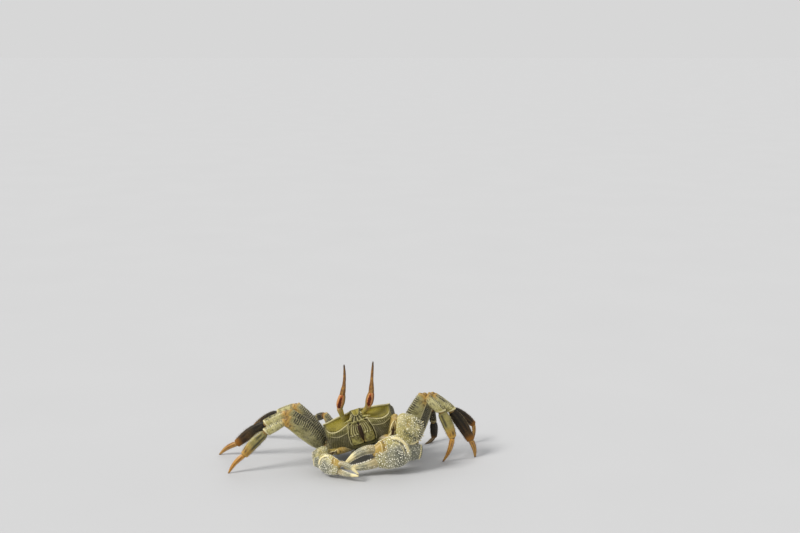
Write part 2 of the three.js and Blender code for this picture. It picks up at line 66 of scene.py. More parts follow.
LEGS: dict[str, dict[str, Any]] = {
    "left_1": dict(root=(16, 14, -15.5), azimuth=4, ischium=(12, -27), merus=(33.8, 67),
                   carpus=(16.2, -46.2), propodus=(19.9, -67), dactyl=18.7, inward=True, size=1.0),
    "left_2": dict(root=(16.6, 20, -15), azimuth=5, ischium=(17.2, -20), merus=(33.4, 70.5),
                   carpus=(17.4, -38), propodus=(25.2, -57.5), dactyl=13.4, inward=False,
                   size=1.04),
    "left_3": dict(root=(16.2, 26, -14), azimuth=24, ischium=(16.6, -20), merus=(33.6, 61.5),
                   carpus=(20, -41), propodus=(21.6, -38.5), dactyl=14.4, inward=True, size=0.82),
    "left_4": dict(root=(13.6, 31.5, -12), azimuth=34, ischium=(15, -21), merus=(29, 35),
                   carpus=(11, -82), propodus=(11.6, -86), dactyl=9.7, inward=True, size=0.88),
    "right_1": dict(root=(-16, 14, -15.5), azimuth=192, ischium=(12, 4), merus=(32, 40),
                    carpus=(15.4, -27), propodus=(20.4, -45), dactyl=16.4, inward=False, size=1.0),
    "right_2": dict(root=(-16.6, 20, -15), azimuth=172, ischium=(12.5, 7), merus=(33, 41),
                    carpus=(17, -30), propodus=(25.5, -36), dactyl=16, inward=False, size=1.04),
    "right_3": dict(root=(-16.2, 26, -14), azimuth=151, ischium=(13, 8), merus=(33.5, 41),
                    carpus=(16.5, -28), propodus=(25, -34), dactyl=15, inward=False, size=0.88),
    "right_4": dict(root=(-13.6, 31.5, -12), azimuth=128, ischium=(9.5, 8), merus=(22, 36),
                    carpus=(10.6, -25), propodus=(14, -45), dactyl=11, inward=False, size=0.82),
}

CLAWS: dict[str, dict[str, Any]] = {
    "left": dict(root=(10, 8.4, -18.6), bend=(33.0, -20.8, 20.0), elbow=(35.4, -21.6, 37.0),
                 plate=(44.2, -24.6, 29.2), heel=(51.6, -24.6, 13.6), wrist=(43.0, -27.2, 17.2),
                 knuckle=(22.4, -31.4, 12.6), tip=(2.4, -35.0, 7.6), size=1.0),
    "right": dict(root=(-10, 8.4, -18.6), bend=(-1.6, -22.4, 13.2), elbow=(-9.2, -24.4, 13.0),
                  plate=(-12.6, -27.6, 12.0), heel=(-16.6, -29.4, 8.6), wrist=(-12.4, -31.8, 9.8),
                  knuckle=(-0.2, -38.2, 7.8), tip=(12.4, -44.0, 5.4), size=0.6),
}

EYES: dict[str, dict[str, Any]] = {
    "right": dict(root=(1.4, -15.4, 33.2), foot=(-1.4, -17, 40.5), head=(1.5, -17, 51.8),
                  tip=(2.3, -16, 70.3), bow=0.9),
    "left": dict(root=(14.2, -14.6, 36.4), foot=(18.1, -18, 42.3), head=(20.4, -18, 53.6),
                 tip=(21.1, -16, 72.4), bow=0.1),
}

# the face's outline from the side, in the body's frame
FACE_FOLD = 8.5  # how far under the front margin it folds back
FACE_LEAN = 0.8  # how far it comes forward above the fold
FACE_SLOPE = 0.66  # how steeply it runs back under the fold
FACE_BULGE = 1.4  # how far its middle stands out

UP = np.array([0.0, 0.0, 1.0])
FORWARD = np.array([0.0, -1.0, 0.0])


class Side(Enum):
    """The two sides of the crab, with the sign of x on each."""

    LEFT = 1
    RIGHT = -1

    @property
    def label(self) -> str:
        """Name used in nodes and pieces."""
        return self.name.lower()


# ---------------------------------------------------------------- small maths

def smooth(stops: Sequence[float], t: Array) -> Array:
    """Smooth curve through evenly spaced stops.

    Args:
        stops: values at even steps.
        t: places from 0 to 1.

    Returns:
        The value at each place.
    """
    s = np.asarray(stops, float)
    place = np.clip(t, 0, 1) * (len(s) - 1)
    i = np.minimum(place.astype(int), len(s) - 2)
    f = place - i
    p = np.concatenate([[2 * s[0] - s[1]], s, [2 * s[-1] - s[-2]]])
    a, b, c, d = p[i], p[i + 1], p[i + 2], p[i + 3]
    return b + 0.5 * f * (c - a + f * (2 * a - 5 * b + 4 * c - d + f * (3 * (b - c) + d - a)))


def ramp(low: float, high: float, x: Array) -> Array:
    """Smooth step from 0 at low to 1 at high."""
    t = np.clip((x - low) / (high - low), 0, 1)
    return t * t * (3 - 2 * t)


def between(low: float, start: float, end: float, high: float, x: Array) -> Array:
    """Smooth window: 0 outside low and high, 1 from start to end."""
    return ramp(low, start, x) * ramp(high, end, x)


def clamp(x: Array, top: float = 1.0) -> Array:
    """Values held between 0 and top."""
    return np.clip(x, 0, top)


def hump(x: Array, width: float) -> Array:
    """Bell of height 1 around 0."""
    return np.exp(-((x / width) ** 2))


def ripple(phase: Array) -> Array:
    """Wave between 0 and 1, with a crest at phase 0."""
    return 0.5 + 0.5 * np.cos(phase)


def beads(x: Array, pitch: float, low: float = 0.45) -> Array:
    """Row of rounded beads along x, from low between them to 1 on top."""
    return low + (1 - low) * ripple(TURN * x / pitch)


def circle(count: int) -> Array:
    """Angles of this many points evenly round a circle."""
    return np.arange(count) * TURN / count


def pole_to_pole(count: int) -> Array:
    """Angles from the pole of this many rings over a ball, as a column."""
    return ((np.arange(count) + 0.5) / count * math.pi)[:, None]


def wobble(p: Array, size: float, seed: int) -> Array:
    """Smooth irregular field in -1..1 over points.

    Args:
        p: points, last axis of 3.
        size: typical size of a patch, in mm.
        seed: which field.

    Returns:
        The field at each point.
    """
    waves, stretch, level = 9, 2.2, 3.6
    rng = np.random.default_rng(seed)
    total = np.zeros(p.shape[:-1])
    for _ in range(waves):
        way = rng.normal(size=3)
        way *= TURN / (size * stretch) * rng.uniform(0.6, 1.6) / np.linalg.norm(way)
        total += np.sin(p @ way + rng.uniform(0, TURN))
    return total / level


def signed(angle: Array, at: float = 0.0) -> Array:
    """Difference of angles, from minus to plus half a turn."""
    return (angle - at + math.pi) % TURN - math.pi


def squared(angle: Array, power: Array | float) -> Array:
    """How far a squarish section of radius 1 reaches at an angle; power 2 is a circle."""
    return (np.abs(np.cos(angle)) ** power + np.abs(np.sin(angle)) ** power) ** (-1 / power)


def rounded_off(t: Array, start: float, end: float, tail: float, least: float) -> Array:
    """Size of a tube's rings, as a share, where its two ends round off.

    Args:
        t: places along it, from 0 to 1.
        start: where the near end is full.
        end: where the far end begins to shrink.
        tail: over what length it shrinks.
        least: the square of the smallest size.

    Returns:
        The share at each place.
    """
    near = np.sqrt(np.clip(1 - np.maximum(0, (start - t) / start) ** 2, least, 1))
    return near * np.sqrt(np.clip(1 - np.maximum(0, (t - end) / tail) ** 2, least, 1))


def turned(axis: int, degrees: float) -> Array:
    """Rotation matrix about one axis.

    Args:
        axis: 0, 1 or 2 for x, y or z.
        degrees: how far.

    Returns:
        The matrix.
    """
    c, s = math.cos(math.radians(degrees)), math.sin(math.radians(degrees))
    m = np.eye(3)
    i, j = [(1, 2), (2, 0), (0, 1)][axis]
    m[i, i], m[i, j], m[j, i], m[j, j] = c, -s, s, c
    return m


BODY = turned(2, BODY_YAW) @ turned(1, BODY_ROLL) @ turned(0, BODY_PITCH)


def on_body(points: Array | Sequence[float]) -> Array:
    """Points of the body's own frame in part coordinates."""
    return np.asarray(points, float) @ BODY.T + BODY_AT


def unit(v: Array) -> Array:
    """Vectors at length 1."""
    return v / np.maximum(np.linalg.norm(v, axis=-1, keepdims=True), 1e-12)


def tint(code: str) -> tuple[float, float, float, float]:
    """Linear colour of a six-digit screen colour.

    Args:
        code: the six digits.

    Returns:
        Red, green, blue and 1.
    """
    parts = [int(code[i:i + 2], 16) / 255 for i in (0, 2, 4)]
    linear = [c / 12.92 if c <= 0.04045 else ((c + 0.055) / 1.055) ** 2.4 for c in parts]
    return (*linear, 1.0)


# ---------------------------------------------------------------- meshes

NO_FACES = np.zeros((0, 3), int)
DOME = ((1, -0.4), (0.9, 0.34), (0.52, 0.8))  # radius and height of each ring, as shares
SPINE = ((1, -0.4), (0.66, 0.3), (0.28, 0.76))
CELL_MIX = np.array([73856093, 19349663, 83492791])  # turns a cell's three numbers into one


class Skin:
    """One piece in the making: points in part millimetres, faces, and masks on the points."""

    def __init__(self) -> None:
        """Start with nothing in it."""
        self.points: list[Array] = []
        self.quads: list[Array] = []
        self.tris: list[Array] = []
        self.masks: list[tuple[int, dict[str, Array]]] = []
        self.count = 0

    def add(self, points: Array, quads: Array, tris: Array, masks: dict[str, Array]) -> None:
        """Add one closed surface.

        Args:
            points: n points.
            quads: four-sided faces over them, or an empty array.
            tris: three-sided faces over them, or an empty array.
            masks: values on the points, each of length n or one number.
        """
        self.points.append(points)
        if len(quads):
            self.quads.append(quads + self.count)
        if len(tris):
            self.tris.append(tris + self.count)
        self.masks.append((len(points), masks))
        self.count += len(points)

    def block(self, points: Array, quads: Array, masks: dict[str, Array]) -> None:
        """Add a closed surface of quads, given in the body's frame."""
        self.add(on_body(points), quads, NO_FACES, masks)

    def tube(self, grid: Array, masks: dict[str, Any],
             poles: tuple[Array, Array] | None = None) -> None:
        """Add a closed tube of rings, each end drawn to a point.

        Args:
            grid: points, rings by columns.
            masks: values on the grid, or one number each.
            poles: the points that close its two ends, else the middles of the end rings.
        """
        poles = poles or (grid[0].mean(0), grid[-1].mean(0))
        n, m = grid.shape[:2]
        i = np.arange(n - 1)[:, None] * m
        j = np.arange(m)[None, :]
        k = (j + 1) % m
        quads = np.stack([i + j, i + m + j, i + m + k, i + k], axis=-1).reshape(-1, 4)
        j, k = np.arange(m), (np.arange(m) + 1) % m
        last = (n - 1) * m
        tris = np.concatenate([
            np.stack([np.full(m, n * m), j, k], axis=-1),
            np.stack([np.full(m, n * m + 1), last + k, last + j], axis=-1),
        ])
        points = np.concatenate([grid.reshape(-1, 3), np.asarray(poles, float)])
        flat = {}
        for name, value in masks.items():
            full = np.broadcast_to(value, (n, m)).reshape(-1)
            flat[name] = np.concatenate([full, [full[0], full[-1]]])
        self.add(points, quads, tris, flat)

    def studs(self, at: Array, up: Array, radius: Array | float, height: Array | float,
              lean: Array | None = None, sharp: bool = False, sides: int = 6,
              masks: dict[str, Any] | None = None) -> None:
        """Add small domes or spines, one on each point.

        Args:
            at: where each stands.
            up: the way each points.
            radius: of the foot.
            height: above the surface.
            lean: shift of the tip, per height.
            sharp: spines rather than domes.
            sides: how many sides each has.
            masks: one value each, or a value per stud.
        """
        n = len(at)
        if n == 0:
            return
        up = unit(up)
        ref = np.where(np.abs(up[:, 2:]) < 0.8, UP, np.array([1.0, 0, 0]))
        t1 = unit(np.cross(ref, up))
        t2 = np.cross(up, t1)
        r = np.broadcast_to(radius, n)[:, None, None]
        h = np.broadcast_to(height, n)[:, None, None]
        tilt = np.zeros((n, 3)) if lean is None else np.broadcast_to(lean, (n, 3))
        a = circle(sides)
        spoke = t1[:, None] * np.cos(a)[None, :, None] + t2[:, None] * np.sin(a)[None, :, None]
        parts = []
        for share, level in SPINE if sharp else DOME:
            rise = (up[:, None] + tilt[:, None] * max(level, 0)) * h * level
            parts.append(at[:, None] + spoke * r * share + rise)
        parts.append(at[:, None] + (up[:, None] + tilt[:, None]) * h)
        block = np.concatenate(parts, axis=1)
        each = block.shape[1]
        j, k = np.arange(sides), (np.arange(sides) + 1) % sides
        quads = np.concatenate([
            np.stack([s * sides + j, s * sides + k, (s + 1) * sides + k, (s + 1) * sides + j], -1)
            for s in (0, 1)
        ])
        tris = np.stack([2 * sides + j, 2 * sides + k, np.full(sides, 3 * sides)], -1)
        base = (np.arange(n) * each)[:, None, None]
        flat = {name: np.repeat(np.broadcast_to(value, n), each)
                for name, value in (masks or {}).items()}
        quads, tris = (base + quads).reshape(-1, 4), (base + tris).reshape(-1, 3)
        self.add(block.reshape(-1, 3), quads, tris, flat)

    def make(self, name: str, material: bpy.types.Material, slot: str,
             nodes: Sequence[str] = ()) -> bpy.types.Object:
        """Turn it into an object that rides on the crab.

        Args:
            name: of the piece.
            material: its finish.
            slot: the record's material slot it belongs to; not used.
            nodes: the plain solids it stands for.

        Returns:
            The new object.
        """
        points = (np.concatenate(self.points) + CENTRE) * MM
        points[:, 2] = np.maximum(points[:, 2], 0)
        quads = np.concatenate(self.quads) if self.quads else np.zeros((0, 4), int)
        tris = np.concatenate(self.tris) if self.tris else NO_FACES
        mesh = bpy.data.meshes.new(name)
        mesh.vertices.add(len(points))
        mesh.vertices.foreach_set("co", points.astype(np.float32).ravel())
        corners = np.concatenate([quads.ravel(), tris.ravel()])
        mesh.loops.add(len(corners))
        mesh.loops.foreach_set("vertex_index", corners.astype(np.int32))
        starts = np.concatenate([
            np.arange(len(quads)) * 4,
            len(quads) * 4 + np.arange(len(tris)) * 3,
        ])
        mesh.polygons.add(len(starts))
        mesh.polygons.foreach_set("loop_start", starts.astype(np.int32))
        for key in sorted({key for _, masks in self.masks for key in masks}):
            values = [np.broadcast_to(masks.get(key, 0.0), n) for n, masks in self.masks]
            layer = mesh.attributes.new(key, "FLOAT", "POINT")
            layer.data.foreach_set("value", np.concatenate(values).astype(np.float32))
        mesh.update(calc_edges=True)
        mesh.validate()
        mesh.shade_smooth()
        mesh.materials.append(material)
        piece = bpy.data.objects.new(name, mesh)
        bpy.context.scene.collection.objects.link(piece)
        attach(piece, "root")
        if nodes:
            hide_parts(*nodes)
        LOG.info("%s: %d points, %d faces", name, len(points), len(starts))
        return piece


def grid_normals(grid: Array) -> Array:
    """Outward normals of a tube's grid of points.

    Args:
        grid: rings by columns of points.

    Returns:
        The normals, in the same grid.
    """
    length = np.gradient(grid, axis=0)
    round_ = np.roll(grid, -1, axis=1) - np.roll(grid, 1, axis=1)
    return unit(np.cross(length, round_))


def inside_out(grid: Array) -> bool:
    """True if a tube's normals point inwards."""
    out = grid - grid.mean(axis=1, keepdims=True)
    return float((grid_normals(grid) * out).sum()) < 0


def face_normals(points: Array, quads: Array) -> Array:
    """Normals at the points of a closed surface of quads.

    Args:
        points: of the surface.
        quads: its faces.

    Returns:
        One normal for each point.
    """
    p = points[quads]
    flat = np.cross(p[:, 2] - p[:, 0], p[:, 3] - p[:, 1])
    out = np.zeros_like(points)
    for c in range(4):
        for d in range(3):
            out[:, d] += np.bincount(quads[:, c], weights=flat[:, d], minlength=len(points))
    return unit(out)


def sprinkled(points: Array, weight: Array, spacing: float, rng: np.random.Generator) -> Array:
    """Choose points about a spacing apart.

    Args:
        points: the candidates.
        weight: how likely each is to be kept, from 0 to 1.
        spacing: the least distance wanted between two.
        rng: source of the draws.

    Returns:
        The numbers of the chosen points.
    """
    chosen = rng.permutation(np.flatnonzero(rng.random(len(points)) < weight))
    cell_size, slide = spacing * 1.15, np.array([1, 1.3, 0.7])
    for shift in (0.0, 0.5, 0.25):
        cell = np.floor(points[chosen] / cell_size + shift * slide).astype(np.int64)
        key = np.bitwise_xor.reduce(cell * CELL_MIX, axis=1)
        _, first = np.unique(key, return_index=True)
        chosen = chosen[np.sort(first)]
    return chosen


@dataclass
class BoxSkin:
    """Closed grid over a box, with rounded edges.

    Attributes:
        across, lengthwise, upright: how many steps each way.
    """

    across: int
    lengthwise: int
    upright: int

    def lattice(self) -> tuple[Array, Array]:
        """Points of the box's surface in -1..1 each way, and its faces.

        Returns:
            The points and the quads.
        """
        counts = (self.across, self.lengthwise, self.upright)
        spans = [c + 1 for c in counts]
        sheets = []
        for fixed in range(3):
            one, two = [axis for axis in range(3) if axis != fixed]
            for value in (0, counts[fixed]):
                g1, g2 = np.meshgrid(np.arange(spans[one]), np.arange(spans[two]), indexing="ij")
                ijk = [None, None, None]
                ijk[one], ijk[two], ijk[fixed] = g1, g2, np.full_like(g1, value)
                key = (ijk[0] * spans[1] + ijk[1]) * spans[2] + ijk[2]
                quad = [key[:-1, :-1], key[1:, :-1], key[1:, 1:], key[:-1, 1:]]
                outward = (1 if value else -1) * (-1 if fixed == 1 else 1)
                if outward < 0:
                    quad.reverse()
                sheets.append(np.stack(quad, -1).reshape(-1, 4))
        quads = np.concatenate(sheets)
        keys, back = np.unique(quads, return_inverse=True)
        k = keys % spans[2]
        j = (keys // spans[2]) % spans[1]
        i = keys // (spans[1] * spans[2])
        cube = np.stack([i / counts[0], j / counts[1], k / counts[2]], -1) * 2 - 1
        return cube, back.reshape(-1, 4)

    @staticmethod
    def rounded(cube: Array, radii: Array) -> Array:
        """Round the edges of the box.

        Args:
            cube: points of the box in -1..1.
            radii: radius of the rounding each way, in the same unit.

        Returns:
            The rounded points.
        """
        core = np.clip(cube, radii - 1, 1 - radii)
        out = (cube - core) / radii
        return core + out / np.maximum(np.linalg.norm(out, axis=-1, keepdims=True), 1) * radii


def rope(skin: Skin, points: Array, radii: Sequence[float], rows: int, columns: int,
         rings: float = 0.0, **masks: float) -> None:
    """Add a round tube through points.

    Args:
        skin: the piece it joins.
        points: its middle line, at even steps.
        radii: at even steps.
        rows: rings along it.
        columns: points round each ring.
        rings: how many ringed joints swell it.
        masks: values on it.
    """
    t = np.linspace(0, 1, rows)
    line = np.stack([smooth(points[:, d], t) for d in range(3)], -1)
    way = unit(np.gradient(line, axis=0))
    side = unit(np.cross(way, np.array([0.31, 0.17, 0.93])))
    other = np.cross(side, way)
    r = smooth(radii, t) * rounded_off(t, 0.04, 0.96, 0.04, 0.02)
    if rings:
        r = r * (1 + 0.16 * np.abs(np.sin(math.pi * rings * t)) - 0.08)
    a = circle(columns)[None, :, None]
    spoke = side[:, None] * np.cos(a) + other[:, None] * np.sin(a)
    skin.tube(line[:, None] + spoke * r[:, None, None], masks, (line[0], line[-1]))


def ball(skin: Skin, centre: Array, half: Array, axes: Array, rows: int = 22,
         columns: int = 28, pleats: int = 0, **masks: float) -> None:
    """Add a rounded lump.

    Args:
        skin: the piece it joins.
        centre: of the lump.
        half: its half sizes along the axes.
        axes: matrix whose columns are its axes.
        rows: rings from pole to pole.
        columns: points round each ring.
        pleats: how many soft folds run round it.
        masks: values on it.
    """
    rise, a = pole_to_pole(rows), circle(columns)
    fold = 1 + (0.035 * np.cos(pleats * rise) if pleats else 0)
    level = np.broadcast_to(-np.cos(rise), (rows, columns))
    r = np.sin(rise)
    sphere = np.stack([np.cos(a) * r * fold, level, np.sin(a) * r * fold], -1)
    grid = (sphere * half) @ axes.T + centre
    reach = axes[:, 1] * half[1]
    skin.tube(grid[:, ::-1] if inside_out(grid) else grid, masks, (centre - reach, centre + reach))


# ---------------------------------------------------------------- shader wiring

class Wiring:
    """Adds and joins nodes in one tree."""

    def __init__(self, tree: bpy.types.NodeTree) -> None:
        """Work on this tree."""
        self.tree = tree

    def add(self, kind: str, **settings: Any) -> bpy.types.Node:
        """Add a node of a kind, with its settings.

        Args:
            kind: the node's type.
            settings: its properties, by name.

        Returns:
            The node.
        """
        node = self.tree.nodes.new(kind)
        for key, value in settings.items():
            setattr(node, key, value)
        return node

    def feed(self, socket: Socket, value: Any) -> None:
        """Join a socket to an input, or set the input's own value."""
        if isinstance(value, bpy.types.NodeSocket):
            self.tree.links.new(value, socket)
        else:
            socket.default_value = value

    def feed_all(self, node: bpy.types.Node, values: dict[str, Any]) -> None:
        """Join or set several inputs of a node, by name."""
        for key, value in values.items():
            self.feed(node.inputs[key], value)

    def math(self, operation: str, first: Any, second: Any = 0.0, clamp: bool = False) -> Socket:
        """Output of one piece of arithmetic.

        Args:
            operation: what is done.
            first, second: the two values or sockets.
            clamp: hold the result between 0 and 1.

        Returns:
            The result.
        """
        node = self.add("ShaderNodeMath", operation=operation, use_clamp=clamp)
        self.feed(node.inputs[0], first)
        self.feed(node.inputs[1], second)
        return node.outputs[0]

    def plus(self, first: Any, second: Any, clamp: bool = False) -> Socket:
        """Output of an addition."""
        return self.math("ADD", first, second, clamp)

    def minus(self, first: Any, second: Any) -> Socket:
        """Output of a subtraction."""
        return self.math("SUBTRACT", first, second)

    def times(self, first: Any, second: Any, clamp: bool = False) -> Socket:
        """Output of a multiplication."""
        return self.math("MULTIPLY", first, second, clamp)

    def blend(self, share: Any, low: Any, high: Any) -> Socket:
        """Colour between two, by share.

        Args:
            share: 0 for the first colour, 1 for the second.
            low, high: the two colours.

        Returns:
            The colour.
        """
        node = self.add("ShaderNodeMix", data_type="RGBA")
        self.feed(node.inputs[0], share)
        self.feed(node.inputs[6], low)
        self.feed(node.inputs[7], high)
        return node.outputs[2]

    def spread(self, value: Any, low: Any, high: Any, start: float = 0.0,
               end: float = 1.0) -> Socket:
        """Smooth step of a value from low to high, onto start to end.

        Args:
            value: what is mapped.
            low, high: the values the step runs between.
            start, end: what it gives at the two.

        Returns:
            The result.
        """
        node = self.add("ShaderNodeMapRange", interpolation_type="SMOOTHSTEP")
        self.feed_all(node, {"Value": value, "From Min": low, "From Max": high,
                             "To Min": start, "To Max": end})
        return node.outputs[0]

    def mask(self, name: str) -> Socket:
        """Values painted on the mesh under this name."""
        return self.add("ShaderNodeAttribute", attribute_name=name).outputs["Fac"]

    def place(self) -> Socket:
        """Place on the piece, in millimetres.

        Returns:
            The place.
        """
        scale = self.add("ShaderNodeVectorMath", operation="SCALE")
        self.feed(scale.inputs[0], self.add("ShaderNodeTexCoord").outputs["Object"])
        scale.inputs["Scale"].default_value = 1 / MM
        return scale.outputs[0]

    def noise(self, vector: Any, scale: Any, detail: float = 4.0) -> Socket:
        """Value of a cloudy pattern.

        Args:
            vector: the place.
            scale: patches per mm.
            detail: how many finer layers.

        Returns:
            The value.
        """
        node = self.add("ShaderNodeTexNoise")
        self.feed_all(node, {"Vector": vector, "Scale": scale, "Detail": detail})
        return node.outputs["Fac"]

    def cells(self, vector: Any, scale: Any, feature: str = "F1") -> bpy.types.Node:
        """Node of a pattern of cells.

        Args:
            vector: the place.
            scale: cells per mm.
            feature: what is measured.

        Returns:
            The node.
        """
        node = self.add("ShaderNodeTexVoronoi", feature=feature)
        self.feed_all(node, {"Vector": vector, "Scale": scale})
        return node

    def relief(self, height: Socket, strength: float, depth: float, invert: bool = False) -> Socket:
        """Normal of a raised surface, with its depth in millimetres.

        Args:
            height: of the surface, from 0 to 1.
            strength: of the relief.
            depth: of the relief, in mm.
            invert: whether high is low.

        Returns:
            The normal.
        """
        node = self.add("ShaderNodeBump", invert=invert)
        self.feed_all(node, {"Strength": strength, "Distance": depth * MM, "Height": height})
        return node.outputs["Normal"]

    def effect(self, group: bpy.types.NodeTree, **values: Any) -> bpy.types.Node:
        """Place an effect group, with its values by input name.

        Args:
            group: the effect.
            values: its inputs, by name.

        Returns:
            The group's node.
        """
        node = self.add("ShaderNodeGroup", node_tree=group)
        self.feed_all(node, values)
        return node


def blank(name: str) -> tuple[bpy.types.Material, Wiring, bpy.types.Node]:
    """New material of this name, with its wiring and its shader.

    Args:
        name: of the material.

    Returns:
        The material, the wiring and the shader node.
    """
    material = bpy.data.materials.new(name)
    material.use_nodes = True
    tree = material.node_tree
    return material, Wiring(tree), tree.nodes["Principled BSDF"]


class Effect(Enum):
    """The effects that several finishes share."""

    MOTTLE = "crab mottle"
    GRAIN = "crab grain"
    CREST = "crab crest wear and highlight"
    DUST = "crab sand dust"


class Effects:
    """Builds each shared effect group once."""

    def __init__(self) -> None:
        """Make all groups."""
        self.groups = {
            Effect.MOTTLE: self.mottle(),
            Effect.GRAIN: self.grain(),
            Effect.CREST: self.crest(),
            Effect.DUST: self.dust(),
        }

    def __getitem__(self, effect: Effect) -> bpy.types.NodeTree:
        """The group of an effect."""
        return self.groups[effect]

    @staticmethod
    def start(effect: Effect, inputs: dict[str, float | None],
              outputs: Sequence[str]) -> tuple[Wiring, Any, Any]:
        """Make an empty group.

        Args:
            effect: which one.
            inputs: names with starting values, None for a vector.
            outputs: names of its values.

        Returns:
            The wiring, the group's input node and its output node.
        """
        tree = bpy.data.node_groups.new(effect.value, "ShaderNodeTree")
        for name, value in inputs.items():
            kind = "NodeSocketVector" if value is None else "NodeSocketFloat"
            socket = tree.interface.new_socket(name, in_out="INPUT", socket_type=kind)
            if value is not None:
                socket.default_value = value
        for name in outputs:
            tree.interface.new_socket(name, in_out="OUTPUT", socket_type="NodeSocketFloat")
        wire = Wiring(tree)
        return wire, wire.add("NodeGroupInput"), wire.add("NodeGroupOutput")

    def mottle(self) -> bpy.types.NodeTree:
        """Cloudy patches and fine flecks.

        Returns:
            The group.
        """
        wire, ins, outs = self.start(
            Effect.MOTTLE, {"Place": None, "Scale": 0.3, "Softness": 0.12}, ("Patches", "Flecks"))
        place, scale, softness = (ins.outputs[key] for key in ("Place", "Scale", "Softness"))
        cloud = wire.noise(place, scale, 5.0)
        patches = wire.spread(cloud, wire.minus(0.5, softness), wire.plus(0.5, softness))
        flecks = wire.spread(wire.noise(place, wire.times(scale, 6.5), 3.0), 0.5, 0.68)
        wire.feed_all(outs, {"Patches": patches, "Flecks": flecks})
        return wire.tree

    def grain(self) -> bpy.types.NodeTree:
        """Fine granules: their height and the caps' mask.

        Returns:
            The group.
        """
        wire, ins, outs = self.start(
            Effect.GRAIN, {"Place": None, "Scale": 1.6}, ("Height", "Caps"))
        place, scale = ins.outputs["Place"], ins.outputs["Scale"]
        near = wire.cells(place, scale).outputs["Distance"]
        fine = wire.noise(place, wire.times(scale, 2.4), 4.0)
        height = wire.plus(wire.spread(near, 0.55, 0.05), wire.times(fine, 0.5))
        wire.feed_all(outs, {"Height": height, "Caps": wire.spread(near, 0.34, 0.12)})
        return wire.tree

    def crest(self) -> bpy.types.NodeTree:
        """Rubbed crests and painted highlights: the painted mask, broken up along its edge.

        Returns:
            The group.
        """
        wire, ins, outs = self.start(
            Effect.CREST, {"Place": None, "Mask": 0.0, "Scale": 1.2}, ("Wear and highlight",))
        cloud = wire.noise(ins.outputs["Place"], ins.outputs["Scale"], 3.0)
        ragged = wire.times(wire.minus(cloud, 0.5), 0.5)
        moved = wire.plus(ins.outputs["Mask"], ragged)
        wire.feed(outs.inputs["Wear and highlight"], wire.spread(moved, 0.22, 0.75))
        return wire.tree

    def dust(self) -> bpy.types.NodeTree:
        """Pale sand dust in sparse grains and soft films.

        Returns:
            The group.
        """
        wire, ins, outs = self.start(Effect.DUST, {"Place": None, "Amount": 0.2}, ("Dusted",))
        place = ins.outputs["Place"]
        film = wire.spread(wire.noise(place, 0.16, 5.0), 0.48, 0.72)
        grit = wire.spread(wire.cells(place, 1.1).outputs["Distance"], 0.14, 0.08)
        both = wire.plus(wire.times(film, 0.5), wire.times(grit, film))
        wire.feed(outs.inputs["Dusted"], wire.times(both, ins.outputs["Amount"], clamp=True))
        return wire.tree


# ---------------------------------------------------------------- finishes

@dataclass(frozen=True)
class ShellFinish:
    """Hard shell: mottled ground, painted regions, fine grain, rubbed crests and painted
    highlights.

    Attributes:
        name: of the material.
        ground, patch: the two colours of the mottling.
        accent, dim, deep, warm, pale, pearl: colours of the painted masks of those names;
            deep also fills grooves, pale the crests, pearl the studs.
        patch_scale: mottling per mm.
        grain_scale: granules per mm.
        grain_depth: how deep the grain stands, in mm.
        roughness, coat, shine: of the surface.
        dust, dust_colour: how much sand clings to it, and its colour.
    """

    name: str
    ground: str
    patch: str
    accent: str = "978a2c"
    dim: str = "4a4634"
    deep: str = "201c0c"
    warm: str = "b88826"
    pale: str = "c6bd8e"
    pearl: str = "d8d2ae"
    patch_scale: float = 0.3
    grain_scale: float = 1.7
    grain_depth: float = 0.06
    roughness: float = 0.42
    coat: float = 0.12
    shine: float = 0.45
    dust: float = 0.12
    dust_colour: str = "c9bfae"

    def build(self, effects: Effects) -> bpy.types.Material:
        """Wire the material.

        Args:
            effects: the shared groups.

        Returns:
            The material.
        """
        material, wire, shader = blank(self.name)
        place = wire.place()
        mottle = wire.effect(effects[Effect.MOTTLE], Place=place, Scale=self.patch_scale).outputs
        grain = wire.effect(effects[Effect.GRAIN], Place=place, Scale=self.grain_scale).outputs
        wear_and_highlight = wire.effect(effects[Effect.CREST], Place=place, Mask=wire.mask("rim")).outputs[0]
        dusted = wire.effect(effects[Effect.DUST], Place=place, Amount=self.dust).outputs[0]
        stud = wire.mask("stud")
        colour = tint(self.ground)
        for share, code in (
            (mottle["Patches"], self.patch),
            (wire.mask("accent"), self.accent),
            (wire.mask("dim"), self.dim),
            (wire.mask("warm"), self.warm),
            (wire.times(mottle["Flecks"], 0.4), self.deep),
            (wire.times(grain["Caps"], 0.28), self.pale),
            (wire.mask("band"), self.deep),
            (wear_and_highlight, self.pale),
            (stud, self.pearl),
            (dusted, self.dust_colour),
        ):
            colour = wire.blend(share, colour, tint(code))
        rough = wire.plus(self.roughness, wire.times(mottle["Flecks"], 0.12))
        rough = wire.minus(rough, wire.times(wear_and_highlight, 0.1))
        rough = wire.plus(rough, wire.times(dusted, 0.4), clamp=True)
        smoothed = wire.minus(1.0, wire.math("MAXIMUM", stud, wear_and_highlight))
        normal = wire.relief(wire.times(grain["Height"], smoothed), 0.7, self.grain_depth)
        wire.feed_all(shader, {
            "Base Color": colour, "Roughness": rough, "Normal": normal, "Coat Weight": self.coat,
            "Coat Roughness": 0.3, "Specular IOR Level": self.shine,
        })
        return material


